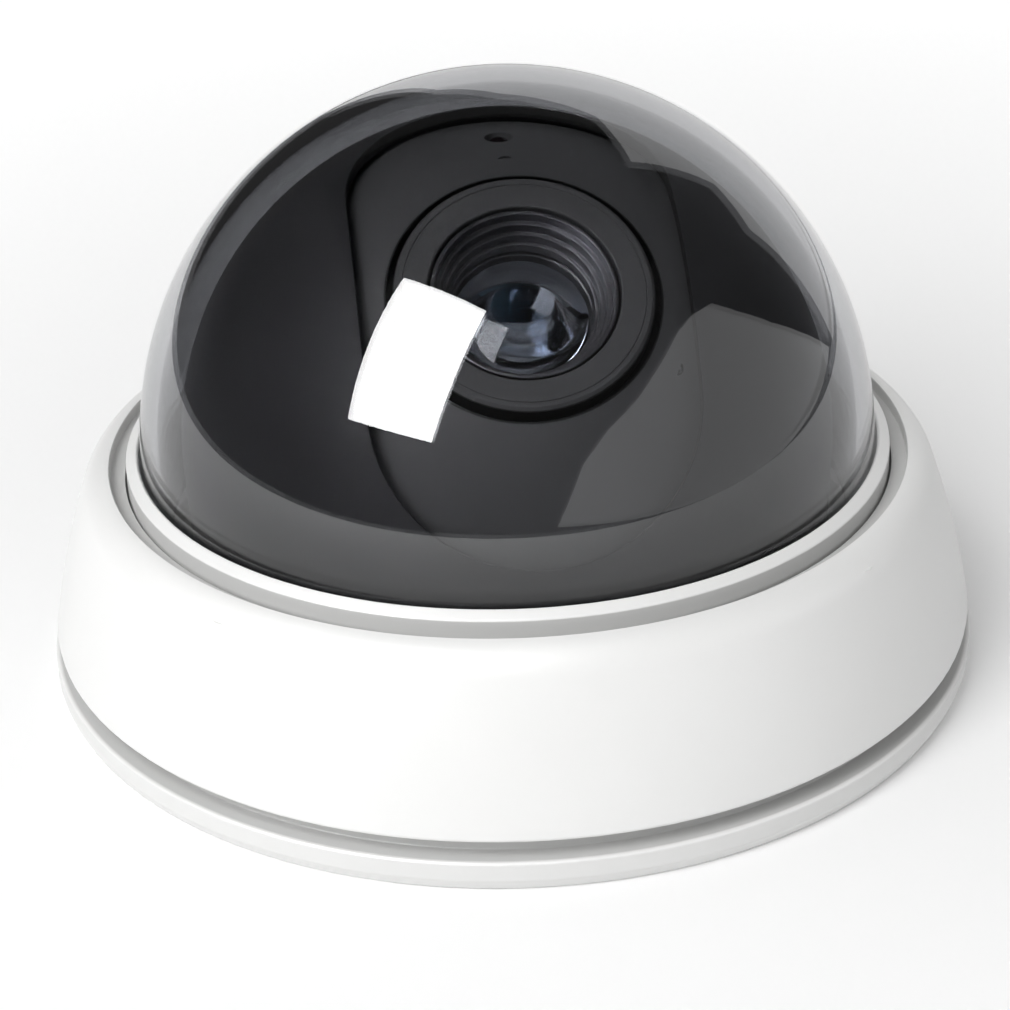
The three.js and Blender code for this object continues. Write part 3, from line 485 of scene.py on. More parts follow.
def white_abs():
    """ABS, injection moulded in a lightly spark-eroded mould: clean white, soft sheen, with painted shade greying
    its grooves and a little grey on its rim.
    """
    colour = settings("dome_housing").colour
    return material("moulded_white_abs", lambda tree: moulded(
        tree, colour, roughness=0.4, grain=0.7, depth=0.012, variation=0.008, painted_shade=(groove_shade_and_rim_grey, "D3D3D2")))


def black_abs(name="moulded_black_abs", painted_shade=None):
    """ABS, moulded in a fine matt mould: soot black that greys where light skims it."""
    colour = settings("dome_inside").colour
    return material(name, lambda tree: moulded(
        tree, colour, roughness=0.42, grain=0.5, depth=0.02, variation=0.12, painted_shade=painted_shade))


def liner_abs():
    """The same black ABS, with painted shade darkening the cut edges of the slot."""
    return black_abs("moulded_black_abs_slot_shade", painted_shade=(slot_edge_shade, "0E0E0E"))


def grey_abs():
    """ABS for the lens's face, coloured a little lighter than the liner and more finely textured, with painted shade
    blacking the gap round the bezel.
    """
    colour = settings("dome_inside").head_colour
    return material("moulded_charcoal_abs", lambda tree: moulded(
        tree, colour, roughness=0.45, grain=0.4, depth=0.015, variation=0.1, painted_shade=(bezel_gap_shade, "0A0A0A")))


def rubber():
    """Moulded nitrile rubber: dull and dark, slightly mottled with bloom."""
    return material("moulded_rubber", lambda tree: moulded(
        tree, linear("1C1C1C"), roughness=0.8, grain=0.3, depth=0.02, variation=0.2, ior=1.52))


def natural_nylon():
    """Natural nylon, turned from rod: milky ivory with a waxy sheen."""
    return material("natural_nylon", lambda tree: moulded(
        tree, linear("E2DFD5"), roughness=0.48, grain=0.4, depth=0.01, variation=0.03, ior=1.53))


def connector_nylon():
    """Glass-filled nylon, moulded: ivory and slightly mottled."""
    return material("connector_nylon", lambda tree: moulded(
        tree, linear("EEE8D9"), roughness=0.5, grain=0.3, depth=0.01, variation=0.04, ior=1.53))


def chip_epoxy():
    """Transfer-moulded epoxy package: charcoal with the mould's matt grain."""
    return material("chip_epoxy", lambda tree: moulded(
        tree, linear("232426"), roughness=0.55, grain=0.15, depth=0.01, variation=0.15, ior=1.55))


def smoked_polycarbonate():
    """Polycarbonate dome, moulded clear and smoked: polished, grey, with a trace of handling haze."""
    tint = (*settings("dome_window").tint, 1.0)

    def build(tree):
        place = add(tree, "TexCoord").outputs["Object"]
        haze = add(tree, "TexNoise", {"Vector": place, "Scale": per_mm(18), "Detail": 4.0, "Roughness": 0.6})
        gloss = add(tree, "MapRange", {
            "Value": haze.outputs["Fac"], "From Min": 0.45, "From Max": 0.75, "To Min": 0.0, "To Max": 0.015})
        return add(tree, "BsdfPrincipled", {
            "Base Color": tint, "Roughness": gloss.outputs["Result"], "IOR": 1.585,
            "Transmission Weight": 1.0}).outputs["BSDF"]
    return material("smoked_polycarbonate", build)


def flint_glass():
    """Dense flint glass, ground and polished: clear with a faint cool cast and a trace of dust."""
    def build(tree):
        place = add(tree, "TexCoord").outputs["Object"]
        dust = add(tree, "TexNoise", {"Vector": place, "Scale": per_mm(0.6), "Detail": 2.0})
        gloss = add(tree, "MapRange", {
            "Value": dust.outputs["Fac"], "From Min": 0.62, "From Max": 0.8, "To Min": 0.0, "To Max": 0.12})
        return add(tree, "BsdfPrincipled", {
            "Base Color": linear("DDE4EE"), "Roughness": gloss.outputs["Result"], "IOR": 1.85,
            "Transmission Weight": 1.0}).outputs["BSDF"]
    return material("flint_glass", build)


def filter_glass():
    """Infra-red cut filter: polished cyan glass with a coated, mirror-like cast."""
    def build(tree):
        place = add(tree, "TexCoord").outputs["Object"]
        film = add(tree, "TexNoise", {"Vector": place, "Scale": per_mm(4)})
        gloss = add(tree, "MapRange", {"Value": film.outputs["Fac"], "To Min": 0.0, "To Max": 0.04})
        return add(tree, "BsdfPrincipled", {
            "Base Color": linear("9CCBD6"), "Roughness": gloss.outputs["Result"], "IOR": 1.52,
            "Transmission Weight": 1.0}).outputs["BSDF"]
    return material("filter_glass", build)


def lamp_epoxy():
    """Cast epoxy lamp body, tinted: glassy and dark when it is off."""
    def build(tree):
        place = add(tree, "TexCoord").outputs["Object"]
        cloud = add(tree, "TexNoise", {"Vector": place, "Scale": per_mm(1.2), "Detail": 1.0})
        blend = add(tree, "ValToRGB", {"Fac": cloud.outputs["Fac"]}, ramp=(
            (0, linear("1A1416")), (1, linear("241A1D"))))
        return add(tree, "BsdfPrincipled", {
            "Base Color": blend.outputs["Color"], "Roughness": 0.12, "IOR": 1.55,
            "Coat Weight": 0.5, "Coat Roughness": 0.03}).outputs["BSDF"]
    return material("lamp_epoxy", build)


def metal(tree, colours, roughness, spread, streak, depth):
    """Bare or plated metal: streaked roughness and colour, with fine tool marks."""
    place = add(tree, "TexCoord").outputs["Object"]
    patch = add(tree, "TexNoise", {"Vector": place, "Scale": per_mm(3), "Detail": 3.0})
    dull, bright = map(linear, colours)
    blend = add(tree, "ValToRGB", {"Fac": patch.outputs["Fac"]}, ramp=((0.35, dull), (0.65, bright)))
    marks = add(tree, "TexNoise", {"Vector": place, "Scale": per_mm(streak), "Detail": 4.0})
    gloss = add(tree, "MapRange", {
        "Value": marks.outputs["Fac"], "From Min": 0.3, "From Max": 0.7,
        "To Min": roughness - spread, "To Max": roughness + spread})
    bump = add(tree, "Bump", {"Height": marks.outputs["Fac"], "Strength": 0.4, "Distance": depth * MM})
    return add(tree, "BsdfPrincipled", {
        "Base Color": blend.outputs["Color"], "Metallic": 1.0, "Roughness": gloss.outputs["Result"],
        "Normal": bump.outputs["Normal"]}).outputs["BSDF"]


def plated_steel():
    """Steel, cold formed and bright zinc plated: cool grey with small bright and dull patches."""
    return material("zinc_plated_steel", lambda tree: metal(
        tree, ("A9ACB0", "C6C8CB"), roughness=0.3, spread=0.08, streak=0.4, depth=0.004))


def black_aluminium():
    """Aluminium, turned, bead blasted and anodised black: dark satin that lights up at its edges."""
    return material("black_anodised_aluminium", lambda tree: metal(
        tree, ("707073", "828286"), roughness=0.36, spread=0.05, streak=0.25, depth=0.004))


def circuit_board():
    """Glass-epoxy board under green solder mask: glossy green with darker copper runs beneath."""
    def build(tree):
        place = add(tree, "TexCoord").outputs["Object"]
        runs = add(tree, "TexBrick", {
            "Vector": place, "Scale": per_mm(4), "Color1": linear("1C5A38"), "Color2": linear("18502F"),
            "Mortar": linear("2C7A4C"), "Mortar Size": 0.03, "Brick Width": 0.9, "Row Height": 0.25})
        ripple = add(tree, "TexNoise", {"Vector": place, "Scale": per_mm(2)})
        gloss = add(tree, "MapRange", {"Value": ripple.outputs["Fac"], "To Min": 0.22, "To Max": 0.4})
        bump = add(tree, "Bump", {"Height": runs.outputs["Fac"], "Strength": 0.3, "Distance": 0.03 * MM})
        return add(tree, "BsdfPrincipled", {
            "Base Color": runs.outputs["Color"], "Roughness": gloss.outputs["Result"],
            "Normal": bump.outputs["Normal"], "IOR": 1.52}).outputs["BSDF"]
    return material("solder_masked_board", build)


FINISHES = {
    "housing_white": white_abs,
    "smoked_dome": smoked_polycarbonate,
    "black_plastic": black_abs,
    "black_rubber": rubber,
    "steel": plated_steel,
    "nylon": natural_nylon,
    "black_aluminium": black_aluminium,
    "lens_glass": flint_glass,
    "filter_glass": filter_glass,
    "circuit_board": circuit_board,
    "chip_black": chip_epoxy,
    "connector_ivory": connector_nylon,
    "led_lens": lamp_epoxy,
}


# ---------------------------------------------------------------- base
HUB_R = 9.0
HUB_TOP = 8.4
HUB_BORE_R = 6.4
FLOOR_H = 2.2
NECK_WALL = 1.7
TRACK_R = 38.0
TRACK_TOP = 3.1
PAN_BORE_R = HUB_R + 0.4  # of what turns round the hub
CLIP_GROOVE = (6.4, 7.3, 0.8)  # from, to and depth
CLIP_BORE_R = HUB_R - 0.5
CLIP_MOUTH = 3.2
CLIP_EYE_R = 0.35  # holes for the pliers
SCREW_SLOT_AT = 50.5
SCREW_SLOT = (4.6, 10.0)  # width and length
SCREW_PAD = 1.8  # how far the raised pad reaches beyond its slot
SCREW_PAD_TOP = 3.2
CLEAR = 0.3  # gap left between pieces that don't touch
PAN_STOP = (1.79, 0.4, 2.6)  # half width, inner and outer face beyond the turntable
SNAP_RIB = (2.5, 2.6, 1.4, 0.15)  # half width, bottom and top below the neck's top, and how proud


def slot_outline(grown=0.0):
    """A screw slot with round ends, long in Y, grown on all sides."""
    width, length = SCREW_SLOT
    half, run = width / 2 + grown, (length - width) / 2
    return arc(0, run, half, 0, 180, 12) + arc(0, -run, half, 180, 360, 12)


def build_base_plate():
    form = settings("dome_housing")
    edge = form.edge_round / MM
    rim, rim_top, top = BASE_HIGH.x, form.rim_height / MM, BASE_HIGH.z
    neck = form.neck_radius / MM
    inner = neck - NECK_WALL
    groove_low, groove_high, groove_depth = CLIP_GROOVE
    body = lathe("base", [
        (HUB_BORE_R, 0, 0.3), (rim - 0.8, 0, 0.5), (rim, 1.6, 1.2), (rim, rim_top, edge), (neck, rim_top, 0.2),
        (neck, top, edge), (inner, top, edge), (inner, FLOOR_H, 0.8), (TRACK_R + 1, FLOOR_H),
        (TRACK_R + 1, TRACK_TOP, 0.2), (TRACK_R - 1, TRACK_TOP, 0.2), (TRACK_R - 1, FLOOR_H),
        (HUB_R, FLOOR_H, 0.6), (HUB_R, groove_low), (HUB_R - groove_depth, groove_low),
        (HUB_R - groove_depth, groove_high), (HUB_R, groove_high), (HUB_R, HUB_TOP, 0.25),
        (HUB_BORE_R, HUB_TOP, 0.25),
    ])
    for angle in (0, 180):
        at = on_circle(angle, SCREW_SLOT_AT)
        joined(body, placed(plate("pad", slot_outline(SCREW_PAD), SCREW_PAD_TOP - 1), at @ moved_to(0, 0, 1)))
        cut(body, placed(plate("slot", slot_outline(), 8), at @ moved_to(0, 0, -2)))
    half, near, far = PAN_STOP
    joined(body, block("stop", (-half, TABLE_HIGH.x + near, 1.5), (half, TABLE_HIGH.x + far, TABLE_HIGH.z)))
    half, low, high, proud = SNAP_RIB
    for angle in (30, 150, 270):
        rib = block("rib", (neck - 0.8, -half, top - low), (neck + proud, half, top - high), edge=0.1)
        joined(body, placed(rib, turned_about(angle)))
    return finished(body, "base_plate", "housing_white")


def build_cable_grommet():
    low, high = span("cable_grommet")
    bore, body, under_lip = 4.2, HUB_BORE_R - CLEAR, HUB_TOP + CLEAR
    return finished(lathe("grommet", [
        (bore, low.z, 0.4), (body, low.z, 0.3), (body, under_lip, 0.1), (high.x, under_lip, 0.3),
        (high.x, high.z, 0.5), (bore, high.z, 0.4),
    ], SMALL_ROUND), "cable_grommet", "black_rubber")


def build_pan_bearing():
    low, high = span("pan_washer")
    washer = lathe("washer", band(PAN_BORE_R, high.x, low.z, high.z, 0.15), SMALL_ROUND)
    finished(washer, "pan_washer", "nylon")
    low, high = span("pan_clip")
    clip = lathe("clip", band(CLIP_BORE_R, high.x, low.z, high.z, 0.12), SMALL_ROUND)
    half = CLIP_MOUTH / 2
    cut(clip, block("mouth", (-half, -HUB_R - 4, low.z - 1), (half, -HUB_R + 3, high.z + 1), edge=0))
    for side in (-1, 1):
        eye = rod("eye", CLIP_EYE_R, low.z - 1, high.z + 1)
        cut(clip, placed(eye, moved_to(side * (half + 0.75), -HUB_R - 0.55)))
    return finished(clip, "pan_clip", "steel")


# ---------------------------------------------------------------- cover, dome and what holds it
ROLL_START = 20  # degrees, where the roll of the shoulder takes over from the side
CREST_R = 49.9
CREST_Z = 28.4
GROOVE_OUT = 50.9
GROOVE_FLOOR_Z = 26.8
GROOVE_UNDER = 25.4
LIP_R = 57.4
LIP_TOP = 11.4
SIDE_STEPS = 14
RING_W = 1.6  # wall of the ring that stands round the dome
RING_FLANGE = 1.5
RING_SLOPE = 0.8
DOME_FLANGE = 1.9
DOME_STEPS = 48  # from the foot to the crown
SCREW_CIRCLE = 52.3
SCREW_HOLE_R = 1.3  # clearance for a small screw
CLAMP_SCREW_ANGLES = (45, 135, 225, 315)


def side_line(foot, top, bulge, inset):
    """The cover's side from its foot up to the roll, bowed out a little."""
    points = []
    for i in range(SIDE_STEPS + 1):
        t = i / SIDE_STEPS
        radius = foot[0] + (top[0] - foot[0]) * t + bulge * 4 * t * (1 - t)
        points.append((radius - inset, foot[1] + (top[1] - foot[1]) * t))
    return points


def build_cover_shell():
    form = settings("dome_housing")
    radius, wall = form.shoulder_round / MM, form.cover_wall / MM
    centre = (CREST_R, CREST_Z - radius)
    side_top = arc(*centre, radius, ROLL_START, 90, 1)[0]
    foot = (BASE_HIGH.x - 0.4, COVER_LOW.z)
    bulge = form.side_bulge / MM
    outside = side_line(foot, side_top, bulge, 0)
    roll_end = math.degrees(math.acos((GROOVE_OUT + 0.1 - CREST_R) / radius))
    roll = arc(*centre, radius, ROLL_START, roll_end, SIDE_STEPS)[1:]
    inside = side_line(foot, side_top, bulge, wall)
    inside = [point for point in inside if LIP_TOP + 1 < point[1] < GROOVE_UNDER]
    body = lathe("cover", [
        (LIP_R, COVER_LOW.z, 0.3), (*outside[0], 0.5), *outside[1:], *roll,
        (GROOVE_OUT, roll[-1][1] - 0.12), (GROOVE_OUT, GROOVE_FLOOR_Z, 0.15),
        (RING_HIGH.x - 1.1, GROOVE_FLOOR_Z), (RING_HIGH.x - 1.1, GROOVE_UNDER),
        (side_top[0] - wall - 0.4, GROOVE_UNDER, 0.6), *reversed(inside),
        (inside[0][0], LIP_TOP), (LIP_R, LIP_TOP, 0.3),
    ])
    for angle in CLAMP_SCREW_ANGLES:
        at = on_circle(angle, SCREW_CIRCLE)
        joined(body, placed(rod("post", 1.9, CLAMP_HIGH.z + CLEAR, GROOVE_FLOOR_Z - 0.5), at))
        cut(body, placed(rod("hole", 1.1, 10, GROOVE_UNDER - 1), at))
    return finished(body, "cover_shell", "housing_white")


def build_dome_ring():
    inner = DOME_R + CLEAR
    outer = inner + RING_W
    top, flange_top = RING_HIGH.z, RING_LOW.z + RING_FLANGE
    return finished(lathe("ring", [
        (inner, RING_LOW.z, 0.2), (RING_HIGH.x, RING_LOW.z, 0.3), (RING_HIGH.x, flange_top, 0.3),
        (outer, flange_top, 0.2), (outer, top - RING_SLOPE, 0.3), (inner + 0.25, top, 0.25), (inner, top - 0.3),
    ]), "dome_ring", "housing_white")


def build_dome_seal():
    low, high = span("dome_seal")
    return finished(lathe("seal", band(DOME_R + 0.5, high.x, low.z, high.z, 0.4)), "dome_seal", "black_rubber")


def half_arches(inner, outer, steps):
    """The inside of a half sphere from its crown down, and the outside from its foot up, both on the pivot."""
    inside = arc(0, PIVOT_Z, inner, 90, 0, steps)
    outside = arc(0, PIVOT_Z, outer, 0, 90, steps)
    return [(0, PIVOT_Z + inner), *inside[1:]], [*outside[:-1], (0, PIVOT_Z + outer)]


def build_dome():
    inner = DOME_R - settings("dome_window").wall / MM
    inside, outside = half_arches(inner, DOME_R, DOME_STEPS)
    foot, flange_r, flange_top = DOME_LOW.z, DOME_HIGH.x, DOME_LOW.z + DOME_FLANGE
    piece = lathe("dome", [
        *inside, (inner, foot, 0.2), (flange_r, foot, 0.3), (flange_r, flange_top, 0.3),
        (DOME_R, flange_top, 0.4), *outside,
    ], 160)
    piece = finished(piece, "dome", "smoked_dome", crease=50)
    piece.visible_shadow = False  # thin smoked wall: lamps reach what is inside
    return piece


def build_dome_clamp():
    inner = DOME_R - settings("dome_window").wall / MM + 0.6
    body = lathe("clamp", band(inner, CLAMP_HIGH.x, CLAMP_LOW.z, CLAMP_HIGH.z, 0.3))
    for angle in CLAMP_SCREW_ANGLES:
        hole = rod("hole", SCREW_HOLE_R, CLAMP_LOW.z - 1, CLAMP_HIGH.z + 1)
        cut(body, placed(hole, on_circle(angle, SCREW_CIRCLE)))
    return finished(body, "dome_clamp", "black_plastic")


# ---------------------------------------------------------------- turntable and liner
EAR_ANGLES = (90, 210, 330)
EAR_CIRCLE = 36.9
EAR_HEIGHT = 2.6
EAR_R = 3.0
TABLE_R = 44.0
STOP_LUG = (1.78, 2.4)  # half width, and how far out of the turntable it stands
LINER_STEPS = 40
FOOT_SCREWS = [(x, y) for x in (-30.4, 30.4) for y in (-3.8, 3.8)]
SLOT_LOW = 31.0  # elevation of the slot's ends, in degrees
SLOT_HIGH = 75.5
SLOT_FLARE = 0.2


def build_turntable():
    low, high = TABLE_LOW.z, TABLE_HIGH.z
    body = lathe("table", [
        (PAN_BORE_R, low, 0.2), (TABLE_R, low, 0.4), (TABLE_R, high, 0.4), (PAN_BORE_R, high, 0.2),
    ])
    half, reach = STOP_LUG
    joined(body, block("tab", (-half, -TABLE_R - reach, low), (half, -TABLE_R + 1, high), edge=0.25))
    for angle in EAR_ANGLES:
        at = on_circle(angle, EAR_CIRCLE)
        cut(body, placed(rod("hole", SCREW_HOLE_R, 0, 9), at), placed(rod("sink", 2.3, 0, low + 1.1), at))
    for place in FOOT_SCREWS:
        cut(body, placed(rod("hole", SCREW_HOLE_R, 0, 9), moved_to(*place)))
    return finished(body, "turntable", "black_plastic")


def slot_tools(half, reach, flare_from):
    """What cuts the lens slot: two round ends and the sector between them, all flared at the outer face."""
    wide, flare_to, start = half + SLOT_FLARE, flare_from + SLOT_FLARE, 5
    tools = []
    for elevation in (SLOT_LOW, SLOT_HIGH):
        end = lathe("end", [
            (0, start), (half, start), (half, flare_from), (wide, flare_to), (wide, reach), (0, reach),
        ], MEDIUM_ROUND)
        tools.append(placed(end, Matrix.Translation(PIVOT), turned_about(90 - elevation, "X")))
    sector = lathe("sector", [
        (start, -half), (flare_from, -half), (flare_to, -wide), (reach, -wide),
        (reach, wide), (flare_to, wide), (flare_from, half), (start, half),
    ], 40, SLOT_HIGH - SLOT_LOW)
    tools.append(placed(
        sector, Matrix.Translation(PIVOT), turned_about(-90 - SLOT_LOW, "X"), turned_about(90, "Y")))
    return tools


def build_liner():
    form = settings("dome_inside")
    inner, foot = LINER_R - form.liner_wall / MM, LINER_LOW.z
    inside, outside = half_arches(inner, LINER_R, LINER_STEPS)
    body = lathe("liner", [*inside, (inner, foot, 0.3), (LINER_R, foot, 0.3), *outside])
    half = form.slot_half_width / MM
    flare_from = math.sqrt(LINER_R ** 2 - half ** 2) - 0.15
    cut(body, *slot_tools(half, DOME_R, flare_from))
    top = foot + EAR_HEIGHT
    for angle in EAR_ANGLES:
        at = on_circle(angle, EAR_CIRCLE)
        web = block("web", (0, -EAR_R, foot), (inner + 0.6 - EAR_CIRCLE, EAR_R, top), edge=0)
        joined(body, placed(rod("ear", EAR_R, foot, top), at), placed(web, at))
        cut(body, placed(rod("hole", 1.15, 0, top - 0.6), at))
    return finished(body, "liner", "black_plastic", liner_abs)


# ---------------------------------------------------------------- eyeball and lamp
BALL_WALL = 1.6
BALL_HALF_WIDTH = 22.0
BALL_COVER = 69  # degrees each way from the lens axis
HEAD_HOLE_R = 15.8
HEAD_SEAT = (17.6, 30.0, 34.9)  # radius, back and front of the room for the bezel's flange
HEAD_SCREW_CIRCLE = 18.9
HEAD_SCREW_ANGLES = (90, 210, 330)
HEAD_POST = (2.0, 32.8, 36.0)  # radius, back and front
SIDE_FLOOR = 30.0  # where the ball's flat sides begin, from the tilt axis
SIDE_WINDOW = (12.0, 14)  # inner radius, and degrees left at each end, of the window in a side
TILT_HUB_R = 8.0
TILT_BOSS = (4.6, 4.2)  # radius and length
TILT_BORE_R = 2.2
LAMP_ANGLE = 38.5  # degrees from the lens axis up to the lamp
LAMP_R = 1.5
LAMP_FOOT = 5.2  # depth of the lamp's foot under the ball's face
LAMP_POST = (0.8, 3.2)  # radius, and distance from the lamp


def ball_radius():
    form = settings("dome_inside")
    return LINER_R - form.liner_wall / MM - form.ball_gap / MM


def across(radius, half, steps):
    """An arc across the ball, as (distance from the tilt axis, place along it)."""
    tilt = math.degrees(math.asin(half / radius))
    return arc(0, 0, radius, -tilt, tilt, steps)


def fan(name, outline, steps, left_out=0):
    """An outline of (distance from the tilt axis, place along it) corners, swept over the part of a turn that the
    ball covers, less some degrees at each end."""
    shape = lathe(name, outline, steps, 2 * (BALL_COVER - left_out))
    return placed(shape, turned_about(BALL_COVER - 180 - left_out, "X"), turned_about(90, "Y"))


def build_eyeball():
    radius, half = ball_radius(), BALL_HALF_WIDTH
    inner, half_inside = radius - BALL_WALL, half - BALL_WALL
    along_tilt = turned_about(90, "Y")
    body = fan("ball", [
        *across(radius, half, 24), (SIDE_FLOOR, half), (SIDE_FLOOR, half_inside),
        *reversed(across(inner, half_inside, 16)), (SIDE_FLOOR, -half_inside), (SIDE_FLOOR, -half),
    ], 72)
    window_r, left_out = SIDE_WINDOW
    boss_r, boss_length = TILT_BOSS
    for low, boss_low in ((-half, -half), (half_inside, half - boss_length)):
        high, past = low + BALL_WALL, low + 3
        arm = fan("arm", [(0, low), (SIDE_FLOOR + 1, low), (SIDE_FLOOR + 1, high), (0, high)], 40)
        window = fan("window", [
            (window_r, low - 1), (SIDE_FLOOR, low - 1), (SIDE_FLOOR, past), (window_r, past),
        ], 40, left_out)
        hub = placed(rod("hub", TILT_HUB_R, low, high, SMALL_ROUND), along_tilt)
        boss = placed(rod("boss", boss_r, boss_low, boss_low + boss_length, SMALL_ROUND), along_tilt)
        joined(body, cut(arm, window), hub, boss)
    cut(body, placed(rod("pivot", TILT_BORE_R, -half - 2, half + 2), along_tilt))
    lip_r = HEAD_HOLE_R + 0.3
    cut(body, lathe("head_hole", [
        (0, 20), (HEAD_HOLE_R, 20), (HEAD_HOLE_R, 37), (lip_r, 37.6), (lip_r, 44), (0, 44),
    ], MEDIUM_ROUND))
    for angle in HEAD_SCREW_ANGLES:
        post = placed(rod("post", *HEAD_POST), on_circle(angle, HEAD_SCREW_CIRCLE))
        skin = inner + 0.6
        ball = lathe("ball", [(0, -skin), *arc(0, 0, skin, -90, 90, 32)[1:-1], (0, skin)], 64)
        joined(body, combined(post, "INTERSECT", ball))
    cut(body, rod("seat", *HEAD_SEAT, MEDIUM_ROUND))
    for angle in HEAD_SCREW_ANGLES:
        cut(body, placed(rod("hole", 1.0, 20, 34.4), on_circle(angle, HEAD_SCREW_CIRCLE)))
    lamp_at = turned_about(-LAMP_ANGLE, "X")
    post_r, post_x = LAMP_POST
    for x in (-post_x, post_x):
        joined(body, placed(rod("post", post_r, radius - LAMP_FOOT - 0.1, radius - 0.8), lamp_at, moved_to(x, 0)))
    cut(body, placed(rod("lamp_hole", LAMP_R + 0.25, 30, radius + 2), lamp_at))
    return finished(placed(body, AIM), "eyeball", "black_plastic", grey_abs)


def build_indicator_lamp():
    tip = ball_radius()
    back = tip - LAMP_FOOT
    lamp = lathe("lamp", [
        (0, back), (LAMP_R + 0.4, back, 0.1), (LAMP_R + 0.4, back + 0.8, 0.1), (LAMP_R, back + 0.8),
        *arc(0, tip - LAMP_R, LAMP_R, 0, 90, 10)[:-1], (0, tip),
    ], SMALL_ROUND)
    return finished(placed(lamp, AIM, turned_about(-LAMP_ANGLE, "X")), "indicator_led", "led_lens")


# ---------------------------------------------------------------- camera head
BEZEL_R = 15.0
BEZEL_BORE = 11.1
BEZEL_FLANGE_R = 17.2
BEZEL_FLANGE = (33.2, 34.6)  # back and front
HOOD_STEPS = (10.3, 9.6, 8.95, 8.4)  # opening radius of each step, from the front
HOOD_STEP_DEPTH = 1.25
HOOD_WALL = 0.6
GLASSES = (  # node, thickness of the edge, rise of the front, rise of the back
    ("front_element", 1.2, 2.4, 0.9), ("middle_element", 1.0, 1.3, 0.6), ("zoom_element", 1.0, 1.1, 0.5),
)
CELLS = (  # node, bore and finish
    ("front_cell", 8.3, "black_aluminium"), ("zoom_cell", 6.3, "black_aluminium"),
    ("aperture_plate", 4.75, "black_plastic"), ("head_ring", 15.6, "black_plastic"),
)


def build_bezel():
    low, high = span("bezel", AIM)
    face, back, radius = high.z, low.z, BEZEL_R
    flange_back, flange_front = BEZEL_FLANGE
    return finished(placed(lathe("bezel", [
        (BEZEL_BORE, back, 0.2), (radius, back, 0.3), (radius, flange_back), (BEZEL_FLANGE_R, flange_back, 0.2),
        (BEZEL_FLANGE_R, flange_front, 0.2), (radius, flange_front), (radius, face - 0.45, 0.1),
        (radius - 0.45, face, 0.15), (radius - 0.95, face), (radius - 1.05, face - 0.12), (radius - 1.15, face),
        (BEZEL_BORE, face, 0.25),
    ]), AIM), "bezel", "black_plastic", grey_abs)


def build_lens_hood():
    low, high = span("lens_hood", AIM)
    inner, outer, front = high.x - HOOD_WALL, high.x, high.z
    outline = [(inner, low.z), (outer, low.z, 0.1), (outer, front, 0.15)]
    for i, radius in enumerate(HOOD_STEPS):
        z = front - HOOD_STEP_DEPTH * i
        outline += [(radius, z, 0.12), (radius - 0.12, z - HOOD_STEP_DEPTH)]
    outline.append((inner, front - HOOD_STEP_DEPTH * len(HOOD_STEPS)))
    return finished(placed(lathe("hood", outline), AIM), "lens_hood", "black_aluminium")


def cap(radius, rise):
    """Radius of the ball that a cap of this radius and rise is cut from, and half the angle it spans."""
    ball = (radius ** 2 + rise ** 2) / (2 * rise)
    return ball, math.degrees(math.asin(radius / ball))


def lens_outline(radius, back, edge, rise, back_rise, steps=20):
    """A lens with a domed front, an edge and a domed back; its edge is measured from the back's crown."""
    ball, half = cap(radius, rise)
    front = arc(0, back + edge + rise - ball, ball, 90 - half, 90, steps)
    back_ball, half = cap(radius, back_rise)
    behind = arc(0, back + back_ball, back_ball, -90, half - 90, steps)
    return [(0, back), *behind[1:], *front[:-1], (0, back + edge + rise)]


def build_lens_glass():
    for node, edge, rise, back_rise in GLASSES:
        low, high = span(node, AIM)
        piece = lathe(node, lens_outline(high.x, low.z, edge, rise, back_rise), MEDIUM_ROUND)
        finished(placed(piece, AIM), node, "lens_glass").visible_shadow = False


def build_lens_cells():
    for node, bore, slot in CELLS:
        low, high = span(node, AIM)
        corner = min(0.25, (high.z - low.z) * 0.2)
        piece = lathe(node, band(bore, high.x, low.z, high.z, corner), MEDIUM_ROUND)
        if node == "head_ring":
            for angle in HEAD_SCREW_ANGLES:
                cut(piece, placed(rod("hole", 1.0, 20, 40), on_circle(angle, HEAD_SCREW_CIRCLE)))
        finished(placed(piece, AIM), node, slot)


# ---------------------------------------------------------------- carried-over pieces
CARRIED = {
    "steel": ("yoke_right", "yoke_left", "pivot_screw_right", "pivot_screw_left", "focus_lock_screw",
              "zoom_lock_screw", *(f"{kind}_screw_{i + 1}" for kind, count in (
                  ("dome_clamp", 4), ("yoke", 4), ("liner", 3), ("head_ring", 3), ("board", 2))
                  for i in range(count))),
    "nylon": ("tilt_washer_right", "tilt_washer_left"),
    "black_aluminium": ("lens_barrel", "focus_ring", "zoom_ring"),
    "black_plastic": ("lens_mount",),
    "filter_glass": ("ir_filter",),
    "circuit_board": ("sensor_board", "led_board"),
    "chip_black": ("image_sensor", "image_processor"),
    "connector_ivory": ("main_connector", "led_connector"),
}


def paint_carried():
    """Gives the CAD nodes that are right as they are their finished materials."""
    for slot, nodes in CARRIED.items():
        for node in nodes:
            obj = frame["nodes"][node]
            if not obj.material_slots:
                obj.data.materials.append(None)
            for holder in obj.material_slots:
                holder.material = FINISHES[slot]()


